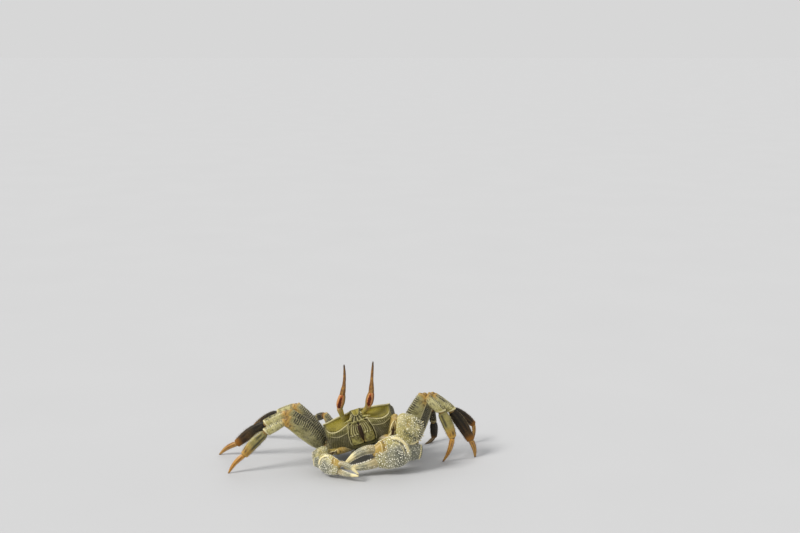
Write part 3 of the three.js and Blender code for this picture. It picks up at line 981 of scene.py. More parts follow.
@dataclass(frozen=True)
class EyeFinish:
    """Glossy cornea: fine facets, a dark band and lighter flanks; the band's colour also paints
    shade.

    Attributes:
        name: of the material.
        flank, glow, stripe: colours from its flanks to the middle of the dark band, the last also
            for painted shade.
        facet: colour of the facets' edges.
    """

    name: str = "cornea"
    flank: str = "c8925e"
    glow: str = "aa561e"
    stripe: str = "461c06"
    facet: str = "5a200c"

    def build(self) -> bpy.types.Material:
        """Wire the material.

        Returns:
            The material.
        """
        material, wire, shader = blank(self.name)
        place = wire.place()
        cloud = wire.spread(wire.noise(place, 0.5, 3.0), 0.4, 0.65)
        stripe = wire.plus(wire.mask("stripe"), wire.times(cloud, 0.12))
        facets = wire.cells(place, 7.0).outputs["Distance"]
        colour = wire.blend(wire.spread(stripe, 0.25, 0.6), tint(self.flank), tint(self.glow))
        colour = wire.blend(wire.spread(stripe, 0.6, 0.85), colour, tint(self.stripe))
        edges = wire.times(wire.spread(facets, 0.3, 0.6), 0.35)
        wire.feed_all(shader, {
            "Base Color": wire.blend(edges, colour, tint(self.facet)),
            "Roughness": wire.spread(cloud, 0, 1, 0.3, 0.4),
            "Normal": wire.relief(facets, 0.5, 0.02, invert=True),
            "Coat Weight": 0.06, "Coat Roughness": 0.12, "Specular IOR Level": 0.2,
        })
        return material


@dataclass(frozen=True)
class FloorFinish:
    """Plain pale floor, of two close greys."""

    name: str = "pale floor"
    colour: str = "bbbcbe"
    cloud: str = "bebfc1"

    def build(self) -> bpy.types.Material:
        """Wire the material.

        Returns:
            The material.
        """
        material, wire, shader = blank(self.name)
        cloud = wire.noise(wire.place(), 0.01, 2.0)
        wire.feed_all(shader, {
            "Base Color": wire.blend(cloud, tint(self.colour), tint(self.cloud)),
            "Roughness": 0.9, "Specular IOR Level": 0.0,
        })
        return material


class Finishes:
    """All finishes of the crab, built once."""

    def __init__(self) -> None:
        """Build every material."""
        effects = Effects()

        def shell(name: str, ground: str, patch: str, **own: Any) -> bpy.types.Material:
            """One hard finish, with what it has of its own."""
            return ShellFinish(name, ground, patch, **own).build(effects)

        dull = dict(coat=0.0, shine=0.25)
        claw = dict(pale="e2d4a0", pearl="fbf7e4", accent="b5a752")
        stalk = dict(warm="a8702a", accent="9c9440", grain_depth=0.02)
        self.shell = shell("olive shell", "77713f", "666038", roughness=0.55, **dull)
        self.belly = shell("pale belly", "cfc49c", "b9ae84", deep="6a5f44", pale="e2dabb")
        # the limb's dim colour paints the shade on the arms
        self.merus = shell("olive limb", "a29c6a", "868052", dim="2c2a20")
        self.carpus = shell("cream limb", "cac28a", "a8a068")
        self.fore = shell("yellow limb", "9c9150", "837a42")
        # the rear limbs' dark finish is painted shade: they lie in the front leg's shadow
        self.hind_in_shade = shell("hind limb in painted shade", "2f2816", "211a0d", warm="8c5a18", deep="120d05",
                          pale="90845a", dim="120f09", dust=0.0, **dull)
        self.foot = shell("amber foot", "d0993c", "b67a28", pale="c08c40", warm="9c5c14", coat=0.15)
        self.claw = shell("granular claw", "b6b292", "8a8872", dim="50554c", warm="b08e3a",
                          grain_depth=0.08, **claw)
        self.plate = shell("granular plate", "cec286", "a09a68", dim="454a38", warm="b08e3a",
                           deep="2a2612", grain_depth=0.08, **claw)
        self.arm = shell("smooth arm", "a6924e", "84703a", dim="50554c", warm="ae8a38",
                         deep="35180a", grain_depth=0.03, **claw)
        self.stalk = shell("eyestalk", "968a3a", "94742c", deep="3a2208", patch_scale=0.6,
                           coat=0.35, roughness=0.34, **stalk)
        self.horn = shell("horn", "96681c", "6c4410", deep="2c1a0a", pale="b88c4c",
                          patch_scale=0.5, coat=0.1, roughness=0.45, dust=0.03, **stalk)
        self.joint = shell("joint skin", "a08432", "7a5a22", deep="5a2c08", patch_scale=0.9,
                           grain_depth=0.05, dust=0.05)
        self.mouth = shell("mouth parts", "a09856", "868048", deep="26100a", pale="cfc796",
                           grain_depth=0.04, dust=0.05, **dull)
        self.cornea = EyeFinish().build()
        self.floor = FloorFinish().build()


@dataclass
class Assembly:
    """A part of the model that is built in the crab's finishes.

    Attributes:
        finishes: the crab's materials.
    """

    finishes: Finishes


# ---------------------------------------------------------------- carapace

@dataclass
class Carapace(Assembly):
    """The body shell, from front margin to rear edge, with orbits, ridges and granules.

    Attributes:
        steps: grid steps across, lengthwise and upright.
        front_edge: radius of the sharp margins, in mm.
        foot_edge: radius of the edges near the belly.
        corner: how far from the middle the outer corners of the orbits stand.
        rear: how far back the rear edge stands.
        orbit_in, orbit_out: where an orbit starts and ends, across.
        orbit_depth: hollow of the orbit at even steps from its inner to its outer end.
        granule: spacing, mean radius and height share of the granules.
    """

    steps: tuple[int, int, int] = (250, 150, 118)
    front_edge: float = 0.45
    foot_edge: float = 2.4
    corner: float = 22.1
    rear: float = 39.0
    orbit_in: float = 3.3
    orbit_out: float = 21.9
    orbit_depth: tuple[float, ...] = (0.0, 4.2, 4.9, 4.7, 4.2, 3.6, 2.9, 2.0, 0.4)
    granule: tuple[float, float, float] = (0.8, 0.19, 0.8)

    @staticmethod
    def half(v: Array) -> Array:
        """Half width of the shell at v along it."""
        return smooth([22.1, 23.8, 23.4, 20.8, 14.5], v)

    @staticmethod
    def dome(u: Array, v: Array) -> Array:
        """Height of the back."""
        margin = -5.2 * clamp(v) ** 1.6
        return margin + smooth([2.9, 5.3, 5.4, 3.2], v) * (1 - np.abs(u) ** 2.2)

    @staticmethod
    def floor(v: Array) -> Array:
        """Height of the shell's lower side."""
        return smooth([-20.4, -19, -16.8, -12.5], v)

    @staticmethod
    def face(u: Array, z: Array) -> Array:
        """Place of the plain face at u across and height z; it slopes back under its fold."""
        under = np.maximum(0, -FACE_FOLD - z)
        return -FACE_LEAN * clamp(-z / FACE_FOLD) + FACE_SLOPE * under - FACE_BULGE * (1 - u * u)

    @staticmethod
    def softened(x: Array, line: tuple[Sequence[float], Sequence[float]], reach: float) -> Array:
        """Heights along a line of straight runs, with its corners rounded."""
        shifts = (-1.2, -0.6, 0.0, 0.5 * reach, reach)
        return sum(np.interp(x + shift, *line) for shift in shifts) / 5

    def lower_margin(self, x: Array) -> Array:
        """Height of the lower orbital margin at x across."""
        return self.softened(x, ([0, 4.7, 8.7, 12.5, 16, 19.3, 21.3, 22.1, 23.5],
                                 [-3.6, -4.9, -6.2, -7.7, -8.3, -7.4, -5.7, -2.8, 0.5]), 0.8)

    def second_ridge(self, x: Array) -> Array:
        """Height of the ridge under the orbit at x across."""
        return self.softened(x, ([5, 6, 9.5, 13, 16, 20.5, 23],
                                 [-8.2, -8.9, -10.8, -11.3, -11.4, -9.4, -7.6]), 1.2)

    @staticmethod
    def mouth_frame(z: Array) -> Array:
        """How far from the middle the mouth's frame stands at height z."""
        return np.interp(-z, [-1, 0.4, 2.2, 6.5, 11.9, 16.8, 18.6, 19.5],
                         [2.6, 3.3, 4.8, 6.8, 8.4, 8.6, 7.7, 6.4])

    def base(self) -> tuple[Array, Array, Array]:
        """Plain rounded shell in the body's frame.

        Returns:
            Points, quads, and the box places (u, v, w) of the points.
        """
        cube, quads = BoxSkin(*self.steps).lattice()
        w = (cube[:, 2] + 1) / 2
        v = (cube[:, 1] + 1) / 2
        widening = (self.foot_edge - self.front_edge) * (1 - w) ** 0.8
        radius = self.front_edge + widening + 0.7 * ramp(0.6, 1, v)
        cube = BoxSkin.rounded(cube, radius[:, None] / np.array([22.0, 19.5, 10.5]))
        u, v, w = cube[:, 0], (cube[:, 1] + 1) / 2, (cube[:, 2] + 1) / 2
        z = self.floor(v) + (self.dome(u, v) - self.floor(v)) * w
        rear = self.rear - 1.6 * (1 - w) - 1.2 * u * u
        x = u * self.half(v) * smooth([0.95, 0.985, 1, 1, 1], w)
        front = self.face(u, z)
        return np.stack([x, front + (rear - front) * v, z], -1), quads, np.stack([u, v, w], -1)

    def carve(self, x: Array, z: Array) -> Array:
        """How far the orbit is hollowed at x across and height z.

        Args:
            x: distance from the middle.
            z: height in the body's frame.

        Returns:
            The depth of the hollow.
        """
        t = (x - self.orbit_in) / (self.orbit_out - self.orbit_in)
        depth = np.where((t > 0) & (t < 1), smooth(self.orbit_depth, t), 0)
        low = self.lower_margin(x)
        top = 2.9 * (1 - (x / self.corner) ** 2)
        s = clamp((z - low) / np.maximum(top - low, 0.4))
        return depth * np.sin(math.pi * clamp(s * 0.8)) ** 0.75

    def relief(self, p: Array, uvw: Array) -> tuple[Array, dict[str, Array]]:
        """Ridges and grooves over the shell.

        Args:
            p: points in the body's frame.
            uvw: their box places.

        Returns:
            Height along the normal, and the masks.
        """
        x, y, z = np.abs(p[:, 0]), p[:, 1], p[:, 2]
        u, v, w = np.abs(uvw[:, 0]), uvw[:, 1], uvw[:, 2]
        front = ramp(0.06, 0.01, v) * ramp(1.0, 0.985, w)
        back = ramp(0.9, 0.99, w) * ramp(0.0, 0.03, v)
        side = ramp(0.93, 1.0, u) * ramp(0.02, 0.06, v) * ramp(1.0, 0.96, w)
        outward = x - self.mouth_frame(z)
        over = z - self.lower_margin(x)
        below = (1 - w) * 22  # distance under the upper margin
        height, rim = np.zeros(len(p)), np.zeros(len(p))

        def ridge(distance: Array, where: Array, rise: float, width: float, run: Array,
                  pitch: float) -> None:
            """Add a beaded ridge at a distance from its line.

            Args:
                distance: of each point from the line.
                where: how full the ridge is there.
                rise, width: its height and half width.
                run: place along it.
                pitch: spacing of its beads.
            """
            shape = hump(distance, width) * where
            height[:] += rise * shape * beads(run, pitch)
            rim[:] = np.maximum(rim, shape)

        near = between(4.2, 5.2, 21.1, 22.3, x) * front
        ridge(over * 0.96, 0.8 * near, 0.62, 0.36, x, 0.95)
        near = between(6.4, 7.4, 20, 22, x) * front
        ridge((z - self.second_ridge(x)) * 0.95, 0.6 * near, 0.42, 0.32, x, 0.85)
        near = ramp(0.9, -0.3, z) * ramp(-19, -18, z) * front
        ridge(outward * 0.95, near, 0.95, 0.4, z, 0.7)
        # fine lines fan out from under the lobe towards the mouth
        fan = front * ramp(0.0, -1.2, z) * ramp(-6.8, -5.6, z) * ramp(0.2, -0.7, outward)
        rays = ripple(17.0 * np.arctan2(x, 1.8 - z))
        height += 0.5 * fan * (rays - 0.45)
        rim[:] = np.maximum(rim, 0.5 * fan * rays ** 2)
        # small bosses in the orbit's lower outer corner
        boss = front * hump(np.hypot(x - 17.6, (z + 8.6) * 1.2), 1.9)
        height += 0.22 * boss * (0.5 + 0.5 * np.cos(TURN * x / 1.3) * np.cos(TURN * z / 1.3))
        # upper margin, the crests down both sides, and the brow of the rear
        near = ramp(0.03, 0.0, v) * ramp(3.0, 4.2, x) * ramp(0.9, 0.99, w)
        ridge(below, near, 0.16, 0.9, x, 0.8)
        crest = ramp(0.985, 1.0, u) * hump(below, 0.8) * ramp(0.0, 0.02, v)
        fade = 0.35 + 0.65 * ramp(0.95, 0.3, v)
        height += 0.3 * crest * beads(y, 0.95, 0.2) * fade
        rim[:] = np.maximum(rim, 0.75 * crest * fade)
        ridge((1 - w) * 20 - 1.2, ramp(0.985, 1.0, v), 0.25, 0.6, x, 1.1)
        # hollow of the mouth field, painted dark as shade
        inside = ramp(0.4, -0.6, outward) * ramp(-5.2, -6.6, z) * ramp(-19.6, -18.6, z) * front
        height -= 1.3 * inside
        # grooves of the back: a letter H with curled ends
        bar = hump(x - (5.0 + 1.4 * np.cos((y - 20) / 5.0)), 0.55)
        bar = bar * ramp(9, 12, y) * ramp(33, 29, y)
        cross = hump(y - 20.4 - 0.06 * x * x, 0.6) * ramp(6.4, 5.2, x)
        neck = hump(y - (14.5 - 0.42 * (x - 5.5)) - 0.6 * np.sin(x), 0.6)
        neck = neck * ramp(5, 6.5, x) * ramp(17, 13, x)
        gut = hump(x, 0.5) * ramp(3.0, 5.0, y) * ramp(12.5, 9.5, y) * 0.6
        groove = clamp(bar + cross + neck + gut) * back
        height -= 0.42 * groove
        height += 0.25 * back * hump(x - 13, 4.5) * hump(y - 24, 8)
        # oblique lines on the side walls
        lines = beads(y * 0.55 + z, 1.9, 0.0) ** 3 * side
        height += 0.09 * lines
        # creases on the face's flanks, painted dark as shade, with painted highlights streaked on
        # the ridges between them
        crease = ripple(TURN * (x + 0.35 * z) / 1.25 + 0.8 * wobble(p, 3.0, 4)) ** 2
        cheek = front * ramp(-7.0, -9.0, z - 0.12 * x) * ramp(8.6, 9.6, x)
        height -= 0.14 * cheek * crease
        streak = cheek * (1 - crease) ** 4 * ramp(-0.2, 0.6, wobble(p, 2.0, 15))
        height += 0.05 * wobble(p, 2.6, 3)

        # colours: the hollow of the orbit, marks and spots of the back, pale grit on a cheek
        t = clamp((x - self.orbit_in) / (self.orbit_out - self.orbit_in))
        hollow = between(0, 0.1, 0.93, 1, t) * ramp(0.0, 0.8, over) * front
        marks = hump(x - (7.4 + 0.8 * np.sin(y / 2.4)), 1.1) * ramp(15, 18, y) * ramp(30, 26, y)
        marks += hump(y - 27.5 - 0.1 * x, 1.1) * ramp(2.0, 4, x) * ramp(9.5, 8, x)
        spots = ramp(0.35, 0.75, wobble(p, 1.6, 8)) * 0.5
        spots = spots + 0.35 * ramp(0.1, 0.6, wobble(p, 5.0, 18)) * hump(x, 12)
        dots = [np.cos(TURN * run / pitch + 1.4 * wobble(p, 3.0, seed))
                for run, pitch, seed in ((x, 1.2, 19), (z, 1.4, 20))]
        grit = ramp(0.45, 0.95, dots[0] * dots[1]) * front
        grit = grit * ramp(-6.5, -9.0, z) * ramp(-17.0, -15.0, z) * ramp(9.5, 12.0, p[:, 0])
        # the orbit is painted darker towards its inner end, by the eyestalk, as shade
        cloudy = hollow * (0.25 * ramp(0.1, 0.7, wobble(p, 3.2, 16)) + 0.4 * ramp(9.0, 4.5, x))
        under_lip = hump(over - 0.9, 0.5) * front * ramp(4.4, 5.4, x) * ramp(20.5, 19, x)
        # a dark line under the upper margin is painted shade
        lip = hump(below - 0.9, 0.7) * ramp(0.06, 0.01, v) * ramp(4, 5, x)
        # the side walls are painted darker as shade; the lower flanks of the face and the rear of
        # the back are darker too
        flank = front * ramp(-8.6, -11.8, z) * ramp(8.2, 9.4, x)
        dusk = side * 0.9 + 0.62 * flank + 0.5 * back * ramp(4, 14, y)
        masks = {
            "rim": np.maximum(np.maximum(rim, 0.35 * streak + 0.5 * grit),
                              0.55 * boss * beads(x, 1.3, 0.0)),
            # the orbit is yellower towards its top: painted light
            "accent": hollow * (0.6 + 0.35 * ramp(-5, 1, z)),
            "dim": clamp(dusk, 0.95),
            "band": clamp(groove * 0.45 + clamp(marks) * back * 0.35 + spots * back * 0.5
                          + inside * 0.8 + lines * 0.3 + side * 0.3 + cloudy + 0.45 * under_lip
                          + 0.4 * lip + 0.75 * fan * (1 - rays) + 0.6 * cheek * crease),
            "warm": 0.2 * hollow * hump(x - 6.0, 2.0),
        }
        return height, masks

    def build(self) -> None:
        """Make the shell and its studs."""
        p, quads, uvw = self.base()
        x, v = np.abs(p[:, 0]), uvw[:, 1]
        p[:, 1] += self.carve(x, p[:, 2]) * (1 - clamp(v)) ** 9
        # the outer corner of each orbit runs out to a point
        point = hump(x - self.corner, 1.5) * hump(p[:, 2] + 0.4, 1.1) * ramp(0.12, 0.0, v)
        p[:, 0] += np.sign(p[:, 0]) * 0.7 * point
        p[:, 1] -= 1.0 * point
        # the narrow lobe between the eyes bends down over the face
        waist = 1.9 + 0.22 * clamp(p[:, 2] + 1.0, 5)
        tongue = np.hypot(x, np.minimum(p[:, 2] + 0.1, 0)) - waist
        lobe = ramp(0.35, -0.55, tongue) * ramp(0.08, 0.0, v)
        p[:, 1] -= 0.95 * lobe * ramp(3.4, 0.6, p[:, 2])
        normal = face_normals(p, quads)
        height, masks = self.relief(p, uvw)
        edge = hump(tongue + 0.35, 0.28) * ramp(0.08, 0.0, v) * ramp(-3.0, -2.0, p[:, 2])
        seam = hump(x, 0.22) * lobe * ramp(3.2, 2.2, p[:, 2])
        height += 0.22 * edge - 0.18 * seam
        shade = 0.5 * seam + 0.5 * hump(tongue - 0.5, 0.35) * ramp(0.05, 0.0, v)
        for key, value in (("rim", edge * 0.6), ("accent", lobe * 0.75), ("band", shade)):
            masks[key] = np.maximum(masks[key], value)
        points = p + normal * height[:, None]
        skin = Skin()
        skin.block(points, quads, masks)
        self.granules(skin, points, normal, uvw)
        skin.make("carapace_shell", self.finishes.shell, "shell", ["carapace"])

    def granules(self, skin: Skin, points: Array, normal: Array, uvw: Array) -> None:
        """Scatter granules over the back and the flanks.

        Args:
            skin: the piece they join.
            points: of the shell in the body's frame.
            normal: at the points.
            uvw: their box places.
        """
        rng = np.random.default_rng(11)
        spacing, size, rise = self.granule
        u, v, w = np.abs(uvw[:, 0]), uvw[:, 1], uvw[:, 2]
        back = (w > 0.97) & (v > 0.02)
        share = np.where(back, 0.25 + 0.7 * ramp(0.35, 0.95, u), 0)
        share = np.where((u > 0.97) & (w > 0.15) & (w < 0.97), 0.6, share)
        chosen = sprinkled(points, share, spacing, rng)
        radius = rng.uniform(0.75, 1.25, len(chosen)) * size
        skin.studs(on_body(points[chosen]), normal[chosen] @ BODY.T, radius, radius * rise,
                   sides=5, masks={"stud": rng.uniform(0.05, 0.45, len(chosen)), "dim": 0.3})


# ---------------------------------------------------------------- belly and mouth

@dataclass
class Underside(Assembly):
    """Breastplate and the folded tail under the body.

    Attributes:
        breast: half width, front, rear and thickness of the breastplate.
        tail: front, rear and thickness of the tail.
        gap: air between the plates.
        seams: where the breastplate's seams cross it, from the front.
        tail_joints: where the tail's joints cross it, as shares of its length.
    """

    breast: tuple[float, float, float, float] = (11.5, 11.5, 36.0, 3.0)
    tail: tuple[float, float, float] = (14.0, 37.5, 1.3)
    gap: float = 0.35
    seams: tuple[float, ...] = (14.5, 19.0, 23.6, 28.0, 31.8)
    tail_joints: tuple[float, ...] = (0.16, 0.33, 0.5, 0.66, 0.79, 0.9)

    @staticmethod
    def plate(steps: tuple[int, int, int], half: Callable[[Array], Array], front: float,
              rear: float, top: float, thick: float, edge: float) -> tuple[Array, Array, Array]:
        """A rounded plate that follows the shell's lower side.

        Args:
            steps: grid steps each way.
            half: half width along it.
            front, rear: where it starts and ends.
            top: gap above it.
            thick: its thickness.
            edge: radius of its edges.

        Returns:
            Points, quads and box places.
        """
        cube, quads = BoxSkin(*steps).lattice()
        radii = np.minimum(edge / np.array([8.0, (rear - front) / 2, thick / 2]), 0.98)
        cube = BoxSkin.rounded(cube, np.broadcast_to(radii, cube.shape))
        u, v, w = cube[:, 0], (cube[:, 1] + 1) / 2, (cube[:, 2] + 1) / 2
        y = front + (rear - front) * v
        depth = (1 - w) * thick * (1 - 0.35 * u ** 4)
        foot = float(Carapace.face(np.array(0.0), Carapace.floor(np.array(0.0))))
        z = Carapace.floor((y - foot) / (37.4 - foot)) - top - depth
        return np.stack([u * half(v), y, z], -1), quads, np.stack([u, v, w], -1)

    def make(self, name: str, node: str, points: Array, quads: Array, height: Array,
             masks: dict[str, Array]) -> None:
        """Raise a plate's relief and make the piece.

        Args:
            name: of the piece.
            node: the plain solid it stands for.
            points, quads: of the plate.
            height: of the relief.
            masks: values on the points.
        """
        skin = Skin()
        skin.block(points + face_normals(points, quads) * height[:, None], quads, masks)
        skin.make(name, self.finishes.belly, "belly", [node])

    def build(self) -> None:
        """Make both plates."""
        half, front, rear, thick = self.breast
        p, quads, uvw = self.plate((110, 120, 14),
                                   lambda v: half * smooth([0.55, 1, 1, 0.9, 0.6], v),
                                   front, rear, self.gap, thick, 1.2)
        under, u = ramp(0.3, 0.1, uvw[:, 2]), np.abs(uvw[:, 0])
        run = p[:, 1] - 1.6 * u ** 2 * 3
        seams = clamp(sum(hump(run - at, 0.28) for at in self.seams)) * ramp(0.2, 0.4, u)
        lines = clamp(seams + hump(p[:, 0], 0.4))
        self.make("breastplate", "sternum", p, quads, -0.5 * lines * under,
                  {"band": lines * 0.6 * under})

        front, rear, thin = self.tail
        p, quads, uvw = self.plate((70, 150, 12), lambda v: 1.6 + 4.6 * clamp(v) ** 0.8,
                                   front, rear, 2 * self.gap + thick, thin, 0.6)
        under, v = ramp(0.5, 0.2, uvw[:, 2]), uvw[:, 1]
        joints = clamp(sum(hump((v - at) * (rear - front), 0.26) for at in self.tail_joints))
        flank = hump(np.abs(uvw[:, 0]) - 0.72, 0.1) * 0.5
        height = (-0.34 * joints - 0.12 * flank + 0.12 * beads(v, 0.165, 0)) * under
        self.make("folded_tail", "abdomen", p, quads, height,
                  {"band": joints * 0.65 * under, "rim": 0.3 * (1 - joints) * under})


@dataclass
class Mouth(Assembly):
    """The pair of plates that close the mouth, with their palps and the small lobes above them.

    Attributes:
        top, foot: heights of the field in the body's frame.
        split: the gap between the plates.
        joint: share of the height where the upper part of a plate starts.
        grid: rings along a plate and points round each.
        power: squareness of a plate's section.
    """

    top: float = -6.3
    foot: float = -18.6
    split: float = 0.9
    joint: float = 0.46
    grid: tuple[int, int] = (110, 72)
    power: float = 3.2

    def on_face(self, x: Array | float, rise: Array | float, proud: Array | float) -> Array:
        """Points over the sloping mouth field.

        Args:
            x: across.
            rise: height along the field from its foot.
            proud: height off the field.

        Returns:
            The points in the body's frame.
        """
        lean = math.atan(FACE_SLOPE)
        foot_y = FACE_SLOPE * (-FACE_FOLD - self.foot) - FACE_LEAN - FACE_BULGE
        y = foot_y - rise * math.sin(lean) - proud * math.cos(lean)
        z = self.foot + rise * math.cos(lean) - proud * math.sin(lean)
        return np.stack([x, y, z], -1)

    def line(self, side: float, stops: Sequence[tuple[float, float, float]]) -> Array:
        """Part coordinates of points given as (across, rise, proud) on the left side."""
        x, rise, proud = np.array(stops).T
        return on_body(self.on_face(side * x, rise, proud))

    def plate(self, side: Side) -> None:
        """One mouth plate of two parts.

        Args:
            side: which one.
        """
        joint, (rows, columns) = self.joint, self.grid
        length = (self.top - self.foot) / math.cos(math.atan(FACE_SLOPE))
        t = np.linspace(0, 1, rows)[:, None]
        a = circle(columns)[None, :]
        inner = self.split / 2 - 0.2 + 0.95 * ramp(0.4, 0.62, t) * ramp(1.1, 0.85, t)
        outer = Carapace.mouth_frame(self.foot + (self.top - self.foot) * t) - 0.8
        cap = rounded_off(t, 0.06, 0.95, 0.05, 0.0)
        cleft = hump((t - joint - 0.07 * np.cos(a)) * length, 0.24)
        middle, half = (inner + outer) / 2, (outer - inner) / 2
        cosine, sine, box = np.cos(a), np.sin(a), squared(a, self.power)
        across = middle + half * cosine * box * (0.12 + 0.88 * cap) * (1 - 0.06 * cleft)
        crown = 1.15 + 0.35 * hump(cosine * box - 0.1, 0.7)
        proud = 0.55 + sine * box * crown * (0.25 + 0.75 * cap)
        front = clamp(sine) ** 0.5
        furrow = hump(across - (inner + 1.3 + 0.3 * t), 0.24)
        furrow = furrow * ramp(joint, joint - 0.06, t) * ramp(0.04, 0.12, t)
        # long folds run up the upper part
        fold = 4 * (across - inner) / (outer - inner) + 0.2 * np.sin(7 * t)
        fold = ripple(TURN * fold) ** 1.5
        fold = fold * ramp(joint - 0.2, joint + 0.12, t) * ramp(1.0, 0.9, t)
        proud = proud - front * (0.3 * cleft + 0.3 * furrow)
        proud = proud + 0.5 * front * (fold - 0.3 * ramp(joint, 0.6, t))
        body = self.on_face(across * side.value, np.broadcast_to(t * length, across.shape), proud)
        near = hump(across - inner, 0.35)
        rim = front * (0.6 * near + 0.15 * hump(outer - across, 0.3) + (0.36 + 0.3 * t) * fold)
        rim = rim + 0.4 * front * ramp(0.25, 0.6, wobble(body, 0.7, 18)) * ramp(0.7, 0.5, t)
        cloudy = ramp(0.0, 0.6, wobble(body, 1.7, 17)) * ramp(0.62, 0.4, t)
        valley = (1 - fold) * ramp(joint - 0.15, joint + 0.12, t)
        dark = 0.2 * cleft + 0.5 * furrow + 0.7 * valley + 0.45 * cloudy
        masks = {
            "band": clamp(dark * front + (1 - front) * 0.4, 0.9),
            "rim": clamp(rim),
            "warm": 0.45 * hump(across - inner, 0.9) * ramp(0.42, 0.25, t),
        }
        grid = on_body(body)
        if side is Side.RIGHT:
            grid = grid[:, ::-1]
            masks = {key: value[:, ::-1] for key, value in masks.items()}
        skin = Skin()
        skin.tube(grid, masks)
        name = side.label
        skin.make(f"mouth_plate_{name}", self.finishes.mouth, "shell", [f"maxilliped_{name}"])

    def palp(self, side: Side) -> None:
        """The palp beside the gap, the arch over the plate and the lobes on it.

        Args:
            side: which one.
        """
        s = side.value
        skin = Skin()
        palp = ((2.4, 13.6, 0.9), (1.3, 13.9, 1.2), (0.5, 12.4, 1.5), (0.42, 9.6, 1.7),
                (0.3, 6.6 - s, 1.4))
        arch = ((0.7, 14.9, 1.6), (1.6, 15.9, 1.8), (3.4, 15.8, 1.6), (5.2, 13.8, 1.2))
        rope(skin, self.line(s, palp), [0.2, 0.22, 0.2, 0.2, 0.12], 60, 10, rim=0.5, warm=0.3)
        rope(skin, self.line(s, arch), [0.3, 0.4, 0.4, 0.35, 0.3], 50, 10, rim=0.35)
        for *at, size in ((2.9, 14.9, 1.2, 1.05), (1.1, 15.9, 1.5, 0.8), (4.1, 16.0, 1.0, 0.85)):
            ball(skin, self.line(s, [at])[0], np.array([size, size * 0.8, size * 0.62]), BODY,
                 rim=0.2, band=0.2)
        skin.make(f"mouth_palp_{side.label}", self.finishes.mouth, "shell")

    def build(self) -> None:
        """Make the plates and what hangs between them."""
        for side in Side:
            self.plate(side)
            self.palp(side)
        skin = Skin()
        # a dark rope fills the gap between the plates: painted shade
        middle = self.line(0.0, [(0.0, rise, 0.15) for rise in (1.0, 4.0, 7.5, 11.0, 14.0)])
        rope(skin, middle, [0.6, 1.7, 2.0, 2.1, 1.2], 50, 20, band=0.95)
        skin.make("mouth_gap_shade", self.finishes.mouth, "shell")


# ---------------------------------------------------------------- limb parts

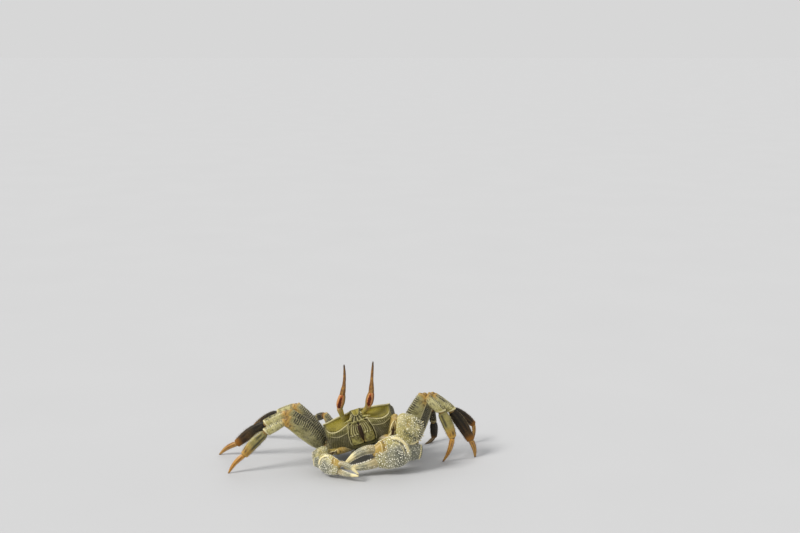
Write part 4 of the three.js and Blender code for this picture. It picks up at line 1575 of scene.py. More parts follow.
@dataclass
class Segment:
    """One part of a limb, lofted from a neck in the joint before it to a cupped rim.

    Attributes:
        skin: the piece it joins.
        start, end: its two joints.
        back: the way its back faces.
        wide, thick: full widths and thicknesses at even steps.
        neck: how far it reaches back into the joint.
        bow: how far its middle stands out along its back.
        bow_power: where along it the bow is fullest, 1 for the middle.
        waist: width of the neck, as a share.
        shoulder: share of its length over which the neck widens.
        slant: how much shorter its lower side is cut at the far joint.
        overhang: how far its upper side runs on over the far joint.
        cupped: whether the far end is a rim with a cup, else it runs out round.
        power: squareness of its section, 2 for an ellipse.
        pitch: spacing of its rings.
        columns: points round each ring.
        rng: source of the draws for what stands on it.
    """

    skin: Skin
    start: Array
    end: Array
    back: Array
    wide: Sequence[float]
    thick: Sequence[float]
    neck: float = 1.0
    bow: float = 0.0
    bow_power: float = 1.0
    waist: float = 0.6
    shoulder: float = 0.12
    slant: float = 0.0
    overhang: float = 0.0
    cupped: bool = True
    power: float = 2.2
    pitch: float = 0.3
    columns: int = 60
    rng: np.random.Generator | None = None

    def __post_init__(self) -> None:
        """Work out the frame and the plain grid."""
        self.length = float(np.linalg.norm(self.end - self.start))
        self.y_axis = (self.end - self.start) / self.length
        self.x_axis = unit(self.back - (self.back @ self.y_axis) * self.y_axis)
        self.z_axis = np.cross(self.x_axis, self.y_axis)
        self.run, self.reach = self.rows()
        self.down = self.run[:, None]
        self.angle = circle(self.columns)[None, :]
        self.cosine, self.sine = np.cos(self.angle), np.sin(self.angle)
        self.share = clamp(self.run / self.length)[:, None]
        self.grid = self.plain()
        self.normal = grid_normals(self.grid)
        self.open = ramp(0.0, 0.8, self.down) * (self.reach > 0.9)[:, None]
        self.cup = (1 - self.open) * ramp(0.9, 1.0, self.share)

    def rows(self) -> tuple[Array, Array]:
        """Distances of the rings along the part, and their size as a share.

        Returns:
            The distances and the shares.
        """
        def closing(left: Array) -> Array:
            """Size of the rings where an end rounds off."""
            left = clamp(left)
            return np.sqrt(np.clip(left * (2 - left), 0.02, 1))

        length = self.length
        count = int((self.neck + length) / self.pitch)
        y = np.linspace(-self.neck, length - 0.25 if self.cupped else length, count)
        grow = self.waist + (1 - self.waist) * ramp(0, self.shoulder * length, y)
        share = grow * closing((y + self.neck) / min(self.neck, 0.8))
        if not self.cupped:
            return y, share * closing((length - y) / (0.06 * length))
        share = share * (1 + 0.05 * hump(y - length + 0.45, 0.5))
        past = np.array([0.0, 0.16, 0.2, 0.1, -0.2, -0.7, -1.3, -1.7, -1.85])
        lip = [1.0, 0.965, 0.91, 0.85, 0.8, 0.74, 0.62, 0.4, 0.15]
        return np.concatenate([y, length + past]), np.concatenate([share, lip])

    def plain(self) -> Array:
        """Grid of points without relief.

        Returns:
            Rings by columns of points.
        """
        t, cosine, reach = self.share, self.cosine, self.reach[:, None]
        box = squared(self.angle, self.power)
        x = smooth(self.wide, t) / 2 * reach * cosine * box
        z = smooth(self.thick, t) / 2 * reach * self.sine * box
        z = z * (1 - 0.3 * clamp(cosine) ** 2)
        y = self.down + (np.minimum(x, 0) * self.slant + x * self.overhang) * ramp(0.55, 1.0, t)
        x = x + self.bow * np.sin(math.pi * t ** self.bow_power)
        x, y, z = np.broadcast_arrays(x, y, z)
        return (self.start + x[..., None] * self.x_axis + y[..., None] * self.y_axis
                + z[..., None] * self.z_axis)

    def window(self, low: float, start: float, end: float, high: float) -> Array:
        """Smooth window along the part, in shares of its length."""
        return between(low, start, end, high, self.share)

    def end_ring(self, back: float, width: float) -> Array:
        """Bell round the part, this far back from its far joint."""
        return hump(self.down - self.length + back, width)

    def flutes(self, count: int) -> Array:
        """Waves that run along the part, this many round it."""
        return ripple(count * self.angle)

    def wobble(self, size: float, seed: int) -> Array:
        """Smooth irregular field over the part as it is now."""
        return wobble(self.grid, size, seed)

    def lift(self, height: Array) -> None:
        """Raise the surface by a height along its normal."""
        height = np.broadcast_to(height, self.grid.shape[:2])
        self.grid = self.grid + self.normal * height[..., None]

    def close(self, **masks: Array | float) -> None:
        """Add the part to its piece, with these values on its grid."""
        self.skin.tube(self.grid, masks)

    def edge_studs(self, angle: float, pitch: float, radius: float, height: float,
                   lean: float = 0.5, span: tuple[float, float] = (0.12, 0.94),
                   sharp: bool = True, **masks: float) -> None:
        """Set a row of spines or beads along one edge.

        Args:
            angle: where round the part.
            pitch: spacing.
            radius: of each foot.
            height: of each.
            lean: how far they lean to the far end.
            span: from and to, as shares of the length.
            sharp: spines rather than beads.
            masks: their values.
        """
        at = np.arange(span[0] * self.length, span[1] * self.length, pitch)
        at = at + self.rng.uniform(-0.15, 0.15, len(at)) * pitch
        rows = np.searchsorted(self.run[:np.argmax(self.run)], at)
        rows = np.clip(rows, 1, len(self.run) - 8)
        column = int(round(angle / TURN * self.columns)) % self.columns
        size = self.rng.uniform(0.75, 1.2, len(at))
        self.skin.studs(self.grid[rows, column], self.normal[rows, column], radius * size,
                        height * size, lean=self.y_axis[None, :] * lean, sharp=sharp, masks=masks)

    def scatter(self, weight: Array, spacing: float, radius: float, rise: float,
                spread: tuple[float, float], sides: int = 6, **masks: float) -> None:
        """Scatter granules over the part.

        Args:
            weight: how likely each grid point is to carry one.
            spacing: between them.
            radius: of each.
            rise: height as a share of the radius.
            spread: range of their pearl value.
            sides: of each.
            masks: their other values.
        """
        points, normal = self.grid.reshape(-1, 3), self.normal.reshape(-1, 3)
        weight = np.broadcast_to(weight, self.grid.shape[:2]).reshape(-1)
        chosen = sprinkled(points, weight, spacing, self.rng)
        size = self.rng.uniform(0.7, 1.25, len(chosen)) * radius
        values = {"stud": self.rng.uniform(*spread, len(chosen))} | masks
        self.skin.studs(points[chosen], normal[chosen], size, size * rise, sides=sides,
                        masks=values)


# ---------------------------------------------------------------- walking legs

@dataclass
class WalkingLeg(Assembly):
    """One walking leg: upper arm with its root, wrist, shin and foot, with skin in the joints.

    Attributes:
        name: of the leg.
        spec: its measures.
        trim: height trimmed off the tip for its flat.
        forms: widths and thicknesses of its five parts at size 1, at even steps.
        joint_halves: half width and thickness of the skin in each joint.
    """

    name: str
    spec: dict[str, Any]
    trim: float = 0.55
    forms: tuple[tuple[tuple[float, ...], tuple[float, ...]], ...] = (
        ((5.4, 6.4, 6.2), (4.9, 4.8, 3.9)),
        ((5.8, 10.0, 11.0, 9.8, 7.6), (3.6, 3.9, 3.8, 3.6, 3.5)),
        ((4.4, 5.5, 6.1, 5.8), (3.3, 3.8, 4.0, 3.8)),
        ((5.5, 7.0, 6.7, 5.1), (3.2, 3.5, 3.3, 2.9)),
        ((3.6, 3.4, 2.8, 1.9, 0.9), (2.8, 2.7, 2.3, 1.7, 0.8)),
    )
    joint_halves: tuple[tuple[float, float], ...] = (
        (2.9, 2.0), (2.35, 1.7), (2.3, 1.6), (1.8, 1.3))

    def __post_init__(self) -> None:
        """Work out the joints."""
        azimuth = math.radians(self.spec["azimuth"])
        self.outward = np.array([math.cos(azimuth), math.sin(azimuth), 0.0])
        self.size = self.spec["size"]
        self.points = [on_body(self.spec["root"])]
        self.angles: list[float] = []
        for part in ("ischium", "merus", "carpus", "propodus"):
            self.step(self.spec[part][0], math.radians(self.spec[part][1]))
        drop = math.asin(min(1.0, (self.points[4][2] + self.trim) / self.spec["dactyl"]))
        self.step(self.spec["dactyl"], drop - math.pi if self.spec["inward"] else -drop)
        self.rng = np.random.default_rng(100 + sorted(LEGS).index(self.name))
        self.rear = self.name[-1] != "1"
        self.hindmost = self.name[-1] == "4"

    def ways(self, angle: float) -> tuple[Array, Array]:
        """The way along a part at an angle, and the way its back faces."""
        c, s = math.cos(angle), math.sin(angle)
        return self.outward * c + UP * s, -s * self.outward + c * UP

    def step(self, length: float, angle: float) -> None:
        """Add one joint."""
        self.points.append(self.points[-1] + self.ways(angle)[0] * length)
        self.angles.append(angle)

    def segment(self, skin: Skin, number: int, **extra: Any) -> Segment:
        """Plain form of one part, numbered from the root, with other settings of its own.

        Args:
            skin: the piece it joins.
            number: of the part, 0 for the root.
            extra: the segment's other settings.

        Returns:
            The part.
        """
        angle = self.angles[number]
        if number + 1 < len(self.angles) and extra.get("cupped", True):
            bend = abs(angle - self.angles[number + 1])
            extra["slant"] = min(0.7, 0.42 * math.tan(min(bend, 2.6) / 2))
        wide, thick = ([value * self.size for value in sizes] for sizes in self.forms[number])
        return Segment(skin, self.points[number], self.points[number + 1], self.ways(angle)[1],
                       wide, thick, rng=self.rng, **extra)

    def make(self, skin: Skin, part: str, node: str, finish: bpy.types.Material,
             slot: str = "limb") -> None:
        """Make one piece of the leg, in place of its plain solid."""
        skin.make(f"leg_{self.name}_{part}", finish, slot, [f"leg_{self.name}_{node}"])

    def root(self, skin: Skin) -> None:
        """The root part between body and arm, with its collar.

        Args:
            skin: the piece it joins.
        """
        part = self.segment(skin, 0, neck=0.3, waist=0.9, cupped=False, columns=48)
        ring = hump(part.down - 0.86 * part.length, 0.35)
        ring = ring + 0.7 * hump(part.down - 0.52 * part.length, 0.3)
        part.lift(-0.3 * self.size * ring)
        # dim paints shade on the root under the body
        part.close(band=clamp(ring) * 0.6, dim=0.45, warm=0.2 * ramp(0.6, 1.0, part.share))
        part.scatter(0.5 * part.open * ramp(-0.6, 0.4, part.cosine), 0.85 * self.size ** 0.5,
                     0.2, 0.7, (0.05, 0.4), sides=5)

    def arm(self) -> None:
        """The broad flat arm up to the knee."""
        skin = Skin()
        self.root(skin)
        part = self.segment(skin, 1, neck=1.2, bow=0.9 * self.size, waist=0.75, columns=72,
                            pitch=0.28)
        cosine, share, bare = part.cosine, part.share, part.open
        mid = part.window(0.05, 0.14, 0.86, 0.97)
        pitch, keel_at = 1.45 * self.size ** 0.5, 0.62
        back = ramp(-0.12, 0.42, cosine)
        phase = part.down / pitch + 0.22 * np.abs(part.sine) + 0.08 * part.wobble(3.0, 5)
        wave = ripple(TURN * phase)
        keel = hump(np.abs(part.angle - math.pi) - keel_at, 0.16)
        height = 0.2 * wave ** 1.5 * back * mid
        height = height + 0.22 * keel * mid * beads(part.down, 0.9, 0.3)
        height = height - 0.25 * hump(part.angle - math.pi, 0.3) * mid
        part.lift(height + 0.06 * part.wobble(1.8, 6) * mid)
        edge = ramp(0.25, 0.7, cosine)
        specks = ramp(0.2, 0.6, part.wobble(1.3, 8))
        stripes = (1 - wave) ** 0.8 * edge * mid
        ends = ramp(0.72, 1.0, share) * ramp(0.6, -0.5, cosine)
        # dim paints shade: darker towards the root, and over the rear arms, which lie in the front
        # arm's shadow
        part.close(
            band=clamp(stripes + (0.2 + 0.5 * specks) * (1 - wave) * back * mid
                       + 0.35 * specks * mid + 0.5 * specks * ends, 0.95) * bare,
            warm=clamp(0.75 * ends + 0.6 * ramp(0.93, 0.99, share), 0.85),
            rim=clamp(0.6 * keel * mid * bare + 0.35 * part.end_ring(0.5, 0.5) * bare
                      + (0.15 + 0.35 * edge) * wave ** 2 * back * mid),
            accent=0.4 * ramp(0.35, 0.9, share) * ramp(0.3, -0.6, cosine),
            dim=clamp(0.55 * ramp(0.45, 0.1, share)
                      + 0.8 * self.rear * ramp(0.95, 0.7, share), 0.85))
        part.edge_studs(0.0, pitch, 0.3, 0.55, rim=0.3, band=0.2)
        for angle in (math.pi - keel_at, math.pi + keel_at):
            part.edge_studs(angle, 0.9, 0.2, 0.3, rim=0.6)
        # the rear arms' paler granules are painted glints
        part.scatter(0.7 * mid * bare * ramp(0.75, 0.3, cosine), 0.75, 0.17, 0.75,
                     (0.3, 0.9) if self.rear else (0.1, 0.6), sides=5)
        self.make(skin, "arm", "merus", self.finishes.merus)

    def wrist(self) -> None:
        """The short part after the knee."""
        skin = Skin()
        part = self.segment(skin, 2, neck=1.3, waist=0.72, columns=56, pitch=0.28,
                            overhang=0.6 if self.name in ("left_1", "left_2") else 0.25)
        mid = part.window(0.08, 0.2, 0.88, 0.98)
        keels = sum(hump(signed(part.angle, at), 0.15) for at in (0.0, 0.95, -0.95, 2.3, -2.3))
        dashes = ramp(0.45, 0.85, part.cosine) * (0.5 - 0.5 * np.cos(TURN * part.down / 1.15)) * mid
        specks = ramp(0.45, 0.75, part.wobble(1.0, 10)) + 0.6 * ramp(0.3, 0.7, part.wobble(3.4, 13))
        part.lift((0.2 * keels * beads(part.down, 0.85, 0.4) + 0.05 * part.wobble(1.6, 9)) * mid)
        collar = part.end_ring(0.6, 0.7) * part.open
        # dim paints shade on the hindmost leg
        part.close(
            rim=clamp(0.5 * keels * mid * part.open + 0.8 * collar),
            warm=clamp(ramp(0.34, 0.02, part.share) * 0.95 + 0.25 * collar),
            accent=0.6 * ramp(0.65, 0.95, part.share),
            dim=0.7 * self.hindmost,
            band=clamp(0.6 * specks * mid + 0.9 * dashes + 0.6 * part.end_ring(-0.1, 0.3)
                       + 0.7 * part.cup, 0.95))
        part.edge_studs(0.0, 0.95, 0.22, 0.32, rim=0.5)
        part.scatter(0.7 * mid * part.open, 0.8, 0.18, 0.75, (0.2, 0.7), sides=5)
        # the hindmost wrist takes the finish painted dark as shade
        finish = self.finishes.hind_in_shade if self.hindmost else self.finishes.carpus
        self.make(skin, "wrist", "carpus", finish)

    def shin(self) -> None:
        """The ridged part before the foot, with sparse stiff bristles along its edges."""
        skin = Skin()
        part = self.segment(skin, 3, neck=1.2, waist=0.72, bow=0.03 * self.spec["propodus"][0])
        share, mid, wave = part.share, part.window(0.05, 0.16, 0.86, 0.98), part.flutes(8)
        part.lift((0.17 * wave ** 2 * beads(part.down, 1.1, 0.55) - 0.06
                   + 0.04 * part.wobble(1.6, 12)) * mid)
        ends = ramp(0.5, 0.95, share)
        if self.rear:
            ends = ramp(0.78, 1.0, share) + 0.14 * ramp(0.3, 0.7, share)
        crests = (0.12 if self.rear else 0.3) * wave ** 2 * mid * part.open
        valleys = (1 - wave) ** 0.9 * 0.9 * mid * ramp(-0.7, 0.2, part.wobble(6.0, 14))
        # dim paints shade on the hindmost leg
        part.close(
            rim=clamp(crests + 0.35 * part.end_ring(0.4, 0.4) * part.open),
            warm=clamp(ends * (0.35 if self.hindmost else 1), 0.92),
            dim=0.75 * self.hindmost,
            band=clamp(valleys + 0.4 * ramp(0.2, 0.02, share) + 0.8 * part.cup))
        for angle in (0.0, math.pi):
            part.edge_studs(angle, 1.1, 0.2, 0.3, sharp=False, rim=0.75)
            for shift in (-0.14, 0.14):
                part.edge_studs(angle + shift, 0.75, 0.06, self.size, lean=0.9, band=0.55, warm=0.6)
        # the rear shins take the finish painted dark as shade
        self.make(skin, "shin", "propodus", self.finishes.hind_in_shade if self.rear else self.finishes.fore)

    def foot(self) -> None:
        """The fluted tip part."""
        skin = Skin()
        part = self.segment(skin, 4, waist=0.8, cupped=False, bow=0.07 * self.spec["dactyl"],
                            columns=48)
        mid, wave = part.window(0.03, 0.15, 0.8, 1.0), part.flutes(6)
        part.lift((0.16 * wave ** 1.5 - 0.08) * mid * self.size)
        # dim paints shade on the rear feet, most on the hindmost
        part.close(rim=0.45 * wave ** 2 * mid,
                   band=clamp((1 - wave) ** 2 * 0.6 * mid + 0.75 * ramp(0.82, 1.0, part.share)),
                   dim=0.9 if self.hindmost else 0.3 * self.rear)
        for angle in (0.0, math.pi):
            part.edge_studs(angle, 0.8, 0.05, 0.7 * self.size, lean=1.0, span=(0.1, 0.75), band=0.5)
        self.make(skin, "foot", "dactyl", self.finishes.foot, "foot")

    def joints(self) -> None:
        """Soft skin that fills the joints."""
        skin = Skin()
        for number, (wide, thick) in enumerate(self.joint_halves, 1):
            one, two = self.angles[number - 1], self.angles[number]
            way, back = self.ways((one + two) / 2)
            axes = np.stack([back, way, np.cross(back, way)], -1)
            sink = 0.7 * self.size * ramp(0.6, 1.6, np.array(abs(one - two)))
            ball(skin, self.points[number] - back * sink, np.array([wide, wide, thick]) * self.size,
                 axes, 30, 36, pleats=14, band=0.15)
        skin.make(f"leg_{self.name}_joint_skin", self.finishes.joint, "limb")

    def build(self) -> None:
        """Make the whole leg."""
        for part in (self.arm, self.wrist, self.shin, self.foot, self.joints):
            part()


# ---------------------------------------------------------------- claws

@dataclass
class Claw(Assembly):
    """One claw folded across the front: arm, wrist plate, palm with fixed finger, and finger.

    Attributes:
        side: which claw.
        spec: its joints and size.
        plate_half: half sizes of the wrist plate at size 1.
        plate_tilt: how far the wrist plate leans back, in degrees.
        least: granules are never finer than at this size.
    """

    side: Side
    spec: dict[str, Any]
    plate_half: tuple[float, float, float] = (9.2, 5.2, 10.2)
    plate_tilt: float = -14.0
    least: float = 0.75

    def __post_init__(self) -> None:
        """Work out its joints."""
        self.size = self.spec["size"]
        self.grit = max(self.size, self.least)
        self.root = on_body(self.spec["root"])
        for key in ("bend", "elbow", "plate", "heel", "wrist", "knuckle", "tip"):
            setattr(self, key, np.array(self.spec[key], float))
        self.axis = unit(self.knuckle - self.wrist)
        self.rng = np.random.default_rng(40 + self.side.value)
        self.fore = -float(np.sign(np.cross(UP, self.axis)[1]))  # +1 if z of the palm faces forward

    def steps(self, large: int, small: int) -> int:
        """Grid steps for the large or the small claw."""
        return large if self.size > 0.8 else small

    def segment(self, skin: Skin, start: Array, end: Array, back: Array, wide: Sequence[float],
                thick: Sequence[float], **extra: Any) -> Segment:
        """Part of the claw from its sizes at size 1, with other settings of its own."""
        wide, thick = ([value * self.size for value in sizes] for sizes in (wide, thick))
        return Segment(skin, start, end, back, wide, thick, cupped=False, rng=self.rng, **extra)

    def make(self, skin: Skin, part: str, node: str, finish: bpy.types.Material,
             slot: str = "claw") -> None:
        """Make one piece of the claw, in place of its plain solid."""
        name = self.side.label
        skin.make(f"claw_{name}_{part}", finish, slot, [f"claw_{name}_{node}"])

    def arm(self) -> None:
        """The arm from the body to the elbow."""
        skin, size = Skin(), self.size
        lower = self.segment(skin, self.root, self.bend, UP, (7.0, 7.4, 7.0), (6.4, 6.4, 5.8),
                             neck=0.2, waist=0.95, columns=56, pitch=0.4)
        lower.close(dim=0.35 * ramp(0.6, 0.2, lower.share), warm=0.6 * ramp(0.3, 0.8, lower.share))
        lower.scatter(0.5 * lower.open, 0.9, 0.22, 0.7, (0.05, 0.5), sides=5)
        upper = self.segment(skin, self.bend, self.elbow, FORWARD, (7.6, 9.4, 10.0, 9.2),
                             (5.2, 5.4, 5.3, 5.0), neck=1.5, waist=0.85, columns=72, pitch=0.25,
                             power=2.6)
        share, mid = upper.share, upper.window(0.0, 0.12, 0.9, 1.0)
        # two ridges meet in an arch near the elbow, over a deep three-cornered hollow
        away = np.abs(signed(upper.angle))
        arch = np.sqrt(clamp(1 - clamp((share - 0.5) / 0.44) ** 2))
        arch = arch * (1 + 0.5 * ramp(0.5, 0.05, share))
        ridges = hump(away - 0.82 * arch, 0.12)
        ridges = ridges + 0.6 * hump(away - 0.45 * arch, 0.09) * ramp(0.5, 0.62, share)
        ridges = ridges * ramp(0.97, 0.92, share)
        hollow = ramp(0.1, 0.2, 0.8 * arch - away)
        pit = ramp(0.0, 0.14, 1.1 * ramp(0.8, 0.35, share) - away)
        height = 0.42 * ridges * beads(upper.down, 1.0, 0.6) - 0.45 * hollow - 1.1 * pit
        upper.lift(height * mid * size)
        shade = 0.3 * hollow * mid + 0.95 * pit + 0.5 * hump(away - 0.63 * arch, 0.07) * mid
        upper.close(rim=clamp(0.85 * ridges) * ramp(0.02, 0.1, share), band=clamp(shade, 0.96),
                    warm=0.5 * ramp(0.5, 0.9, share) * ramp(1.6, 0.6, away) * (1 - pit))
        for angle in (0.75, -0.75):
            upper.edge_studs(angle, 1.0 * size ** 0.5, 0.24, 0.3, rim=0.8)
        axes = np.stack([FORWARD, UP, np.cross(FORWARD, UP)], -1)
        elbow = self.elbow + np.array([0, 2.0, -1.6]) * size
        for at, half in ((self.bend, (3.6, 3.4, 2.9)), (elbow, (2.6, 2.4, 2.4))):
            ball(skin, at, np.array(half) * size, axes, 36, 44, pleats=12, warm=0.35, rim=0.25)
        self.make(skin, "arm", "merus", self.finishes.arm, "limb")

    def wrist_plate(self) -> None:
        """The broad granular plate between arm and palm."""
        skin, size = Skin(), self.size
        rows, columns = self.steps(150, 90), self.steps(230, 140)
        # rho runs from the plate's front to its back, psi round it, a and b across and up
        rho, psi = pole_to_pole(rows), circle(columns)[None, :]
        out = squared(psi, np.where(np.cos(psi) < 0, 3.4, 2.0))
        disc = np.sin(rho) ** 0.78
        a, b = out * np.cos(psi) * disc, out * np.sin(psi) * disc
        deep = np.sign(np.cos(rho)) * np.abs(np.cos(rho)) ** 0.86
        half, tilt = np.array(self.plate_half) * size, turned(0, self.plate_tilt)
        local = np.stack([a * half[0], -np.broadcast_to(deep, a.shape) * half[1], b * half[2]], -1)
        local[..., 0] *= self.side.value * np.where(a < 0, 0.87, 1.0)
        local[..., 2] *= 1 + ramp(0.0, 0.7, b) * (
            0.06 * ramp(0.2, -0.8, a) - 0.13 * ramp(-0.7, 0.9, a))
        grid = local @ tilt.T + self.plate
        if inside_out(grid):
            grid, a, b, psi, out = (value[:, ::-1] for value in (grid, a, b, psi, out))
        normal = grid_normals(grid)
        front = ramp(math.pi * 0.56, math.pi * 0.42, rho)
        edge = np.hypot(a, b) / np.maximum(out, 1e-6)
        # a belt of teeth round the outer side, a smooth rim round the inner one
        outer = ramp(0.1, 0.45, a) * ramp(0.72, 0.5, b) * ramp(-0.82, -0.68, b)
        wave = ripple(TURN * (psi * 9.7) / 1.5)
        belt = hump(rho - math.pi / 2, 0.11)
        radial = ramp(0.72, 0.86, edge) * front * outer
        height = belt * outer * 0.95 * wave
        height = height + 0.45 * radial * wave
        plain = ramp(0.1, -0.15, a + b)
        rim = ramp(0.86, 0.94, edge) * plain * ramp(math.pi * 0.62, math.pi * 0.5, rho)
        height = height + 0.28 * rim - 0.2 * hump(edge - 0.83, 0.04) * front * plain
        bow = hump(a - 0.32 + 0.55 * (b - 0.3) ** 2, 0.05)
        bow = bow * ramp(0.8, 0.7, b) * ramp(-0.05, 0.1, b) * front
        height = height + 0.35 * bow
        height = height + 0.12 * wobble(grid, 3.2, 21) * front
        grid = grid + normal * (height * size)[..., None]
        spot = hump(np.hypot(a, b - 0.55), 0.2) * front
        blush = hump(np.hypot(a + 0.05, b - 0.3), 0.14) * front
        # a dusky streak runs aslant over the plate's lower half
        along, off = 0.9 * (a - 0.08) - 0.43 * (b + 0.35), 0.43 * (a - 0.08) + 0.9 * (b + 0.35)
        dusk = hump(off, 0.16) * ramp(0.66, 0.42, np.abs(along)) * front
        yellow = ramp(0.2, -0.3, a + 0.5 * b) * ramp(0.5, 0.1, b) * front
        tip = tilt @ np.array([0, half[1], 0])
        skin.tube(grid, {
            "rim": clamp(rim * ramp(-1.1, -0.2, a) * 0.95 + 0.5 * bow
                         + (0.6 * radial + 0.7 * belt * outer) * wave ** 2),
            "accent": clamp(spot * 0.95 + 0.5 * yellow + 0.35 * ramp(0.5, 1.0, b) * front),
            # dim: the dusky streak, a darker toothed outer side and upper outer corner, and the
            # back painted dim as shade
            "dim": clamp(dusk * 0.9 + 0.65 * radial + 0.8 * (1 - front)
                         + 0.45 * ramp(0.3, 0.6, a) * ramp(0.3, 0.6, b) * front),
            "band": clamp((1 - wave) * radial * 0.7 + 0.3 * front * (1 - rim)
                          + 0.3 * spot * ramp(0.3, 0.8, wobble(grid, 0.9, 22))),
            "warm": clamp(0.5 * blush + 0.45 * spot * ramp(0.2, 0.7, wobble(grid, 1.1, 23))),
        }, (self.plate - tip, self.plate + tip))
        points, normals = grid.reshape(-1, 3), normal.reshape(-1, 3)
        weight = front * ramp(0.97, 0.92, edge) + 0.45 * (1 - front)
        weight = (weight * (1 - rim) * (1 - 0.85 * dusk)).reshape(-1)
        dull = 1 - (0.6 * spot + 0.75 * dusk + 0.35 * yellow).reshape(-1)
        tinge = clamp(spot + yellow).reshape(-1)
        for spacing, each, pearl in ((1.2, 0.37, (0.25, 0.9)), (0.8, 0.21, (0.1, 0.6))):
            chosen = sprinkled(points, weight, spacing * self.grit, self.rng)
            radius = self.rng.uniform(0.7, 1.25, len(chosen)) * each * self.grit
            stud = self.rng.uniform(*pearl, len(chosen)) * np.clip(dull[chosen], 0.2, 1)
            skin.studs(points[chosen], normals[chosen], radius, radius * 0.85,
                       masks={"stud": stud, "accent": tinge[chosen]})
        large = np.argmin(np.hypot(a + 0.1, b - 0.05) + 9 * (1 - np.broadcast_to(front, a.shape)))
        skin.studs(points[[large]], normals[[large]], 0.95 * size, 0.5 * size,
                   masks={"stud": 0.4, "accent": 0.3})
        middle = rows // 2
        around = np.flatnonzero((wave[0] > 0.985) & (outer[middle] > 0.5))
        keep = around[np.concatenate([[True], np.diff(around) > 1])]
        skin.studs(grid[middle, keep], normal[middle, keep], 0.5 * size, 0.65 * size, sharp=True,
                   masks={"rim": 0.9})
        self.make(skin, "wrist", "carpus", self.finishes.plate)

    def palm(self, skin: Skin) -> None:
        """The palm, with a smooth bead along its back.

        Args:
            skin: the piece it joins.
        """
        size, grit = self.size, self.grit
        start = self.wrist - self.axis * 1.5 * size
        palm = self.segment(skin, start, self.knuckle, UP, (15.0, 20.6, 21.6, 19.0, 14.6),
                            (7.8, 10.0, 10.2, 9.0, 6.8), neck=0.9 * size, waist=0.94, shoulder=0.1,
                            power=2.5, columns=self.steps(150, 100), pitch=0.22)
        share, cosine, front = palm.share, palm.cosine, self.fore * palm.sine
        # the bead turns down at the palm's near end, with a finer one inside it
        near = clamp(0.52 - share) / 0.5
        corner = (near ** 2.6 + clamp(cosine) ** 2.6) ** (1 / 2.6)
        path = ramp(0.52, 0.36, share) * ramp(-0.45, 0.0, cosine) * ramp(-0.1, 0.25, front)
        arc = hump(corner - 0.9, 0.085) * path
        inner_arc = hump(corner - 0.66, 0.045) * path
        gutter = (hump(corner - 0.765, 0.04) + 0.5 * hump(corner - 0.9, 0.018)) * path
        crest = hump(signed(palm.angle), 0.09)
        keel = hump(palm.angle - math.pi, 0.1)
        mid = palm.window(0.03, 0.1, 0.93, 1.0)

        def pleat(at: float, width: float) -> Array:
            """Curved line across the palm at a share of its length."""
            return hump(share - at + 0.05 * np.sin(2.4 * palm.angle), width)

        # skin folds where the moving finger is hinged
        socket = ramp(0.56, 0.7, share) * ramp(0.2, 0.5, cosine) * ramp(-0.3, 0.1, front)
        folds = sum(pleat(at, 0.012) for at in (0.66, 0.8)) * socket
        height = 0.7 * arc + 0.4 * inner_arc - 0.4 * gutter
        height = height + 0.3 * folds - 0.25 * pleat(0.73, 0.03) * socket
        height = height + (0.35 * crest + 0.3 * keel) * mid * beads(palm.down, 1.15, 0.3)
        palm.lift((height + 0.14 * palm.wobble(3.0, 31) * mid) * size)
        bead = clamp(arc * 1.3)
        # dim paints shade on the lower front of the palm towards its near end, and on its back
        palm.close(
            rim=clamp(0.8 * bead + 0.6 * inner_arc + 0.3 * (crest + keel) * mid + 0.8 * folds),
            warm=clamp(0.3 * bead + 0.85 * socket, 0.9),
            accent=clamp(0.8 * ramp(0.35, 0.8, cosine) + 0.4 * ramp(0.6, 0.85, share), 0.8)
            * (1 - bead),
            dim=clamp(0.75 * hump(share - 0.35, 0.2) * ramp(0.5, 0.0, cosine)
                      * ramp(-0.2, 0.3, front) + 0.35 * ramp(0.2, -0.4, front)),
            band=0.6 * gutter + 0.25 * ramp(0.2, 0.7, palm.wobble(1.1, 35)) * mid * (1 - bead)
            + 0.5 * pleat(0.73, 0.03) * socket)
        weight = mid * (1 - bead) * (0.4 + 0.6 * ramp(-0.4, 0.2, front)) * (1 - socket)
        palm.scatter(weight, 1.2 * grit, 0.42 * grit, 0.85, (0.55, 1.0))
        palm.scatter(weight, 0.8 * grit, 0.2 * grit, 0.85, (0.1, 0.8), sides=5)
        for angle in (0.0, math.pi):
            palm.edge_studs(angle, 1.15 * size, 0.36 * size, 0.5 * size, span=(0.12, 0.96),
                            rim=0.85)

    def hand(self) -> None:
        """Palm, heel and fixed finger."""
        skin, size, grit = Skin(), self.size, self.grit
        self.palm(skin)
        heel = self.segment(skin, self.heel, self.wrist + self.axis * 5 * size, UP,
                            (9.5, 13.5, 15.5), (5.4, 7.2, 8.0), neck=1.4 * size, waist=0.9,
                            power=2.4, columns=self.steps(110, 70), pitch=0.25)
        heel.lift(0.12 * heel.wobble(2.6, 33) * size)
        # the heel is painted dim as shade, and its granules too
        heel.close(dim=0.7, rim=0.7 * hump(heel.down - 0.2, 0.3))
        weight = ramp(0.02, 0.1, heel.share) * (0.6 + 0.4 * ramp(-0.2, 0.3, self.fore * heel.sine))
        heel.scatter(weight, 1.1 * grit, 0.36 * grit, 0.8, (0.1, 0.75), dim=0.4)
        # a ring of spines stands round the heel's near end
        row = int(np.searchsorted(heel.run, 0.2))
        every = slice(0, heel.columns, max(1, heel.columns // 22))
        skin.studs(heel.grid[row, every], heel.normal[row, every] - heel.y_axis * 0.5, 0.52 * size,
                   0.85 * size, sharp=True, masks={"rim": 0.95})
        self.digit(skin, -1)
        self.make(skin, "hand", "palm", self.finishes.claw)

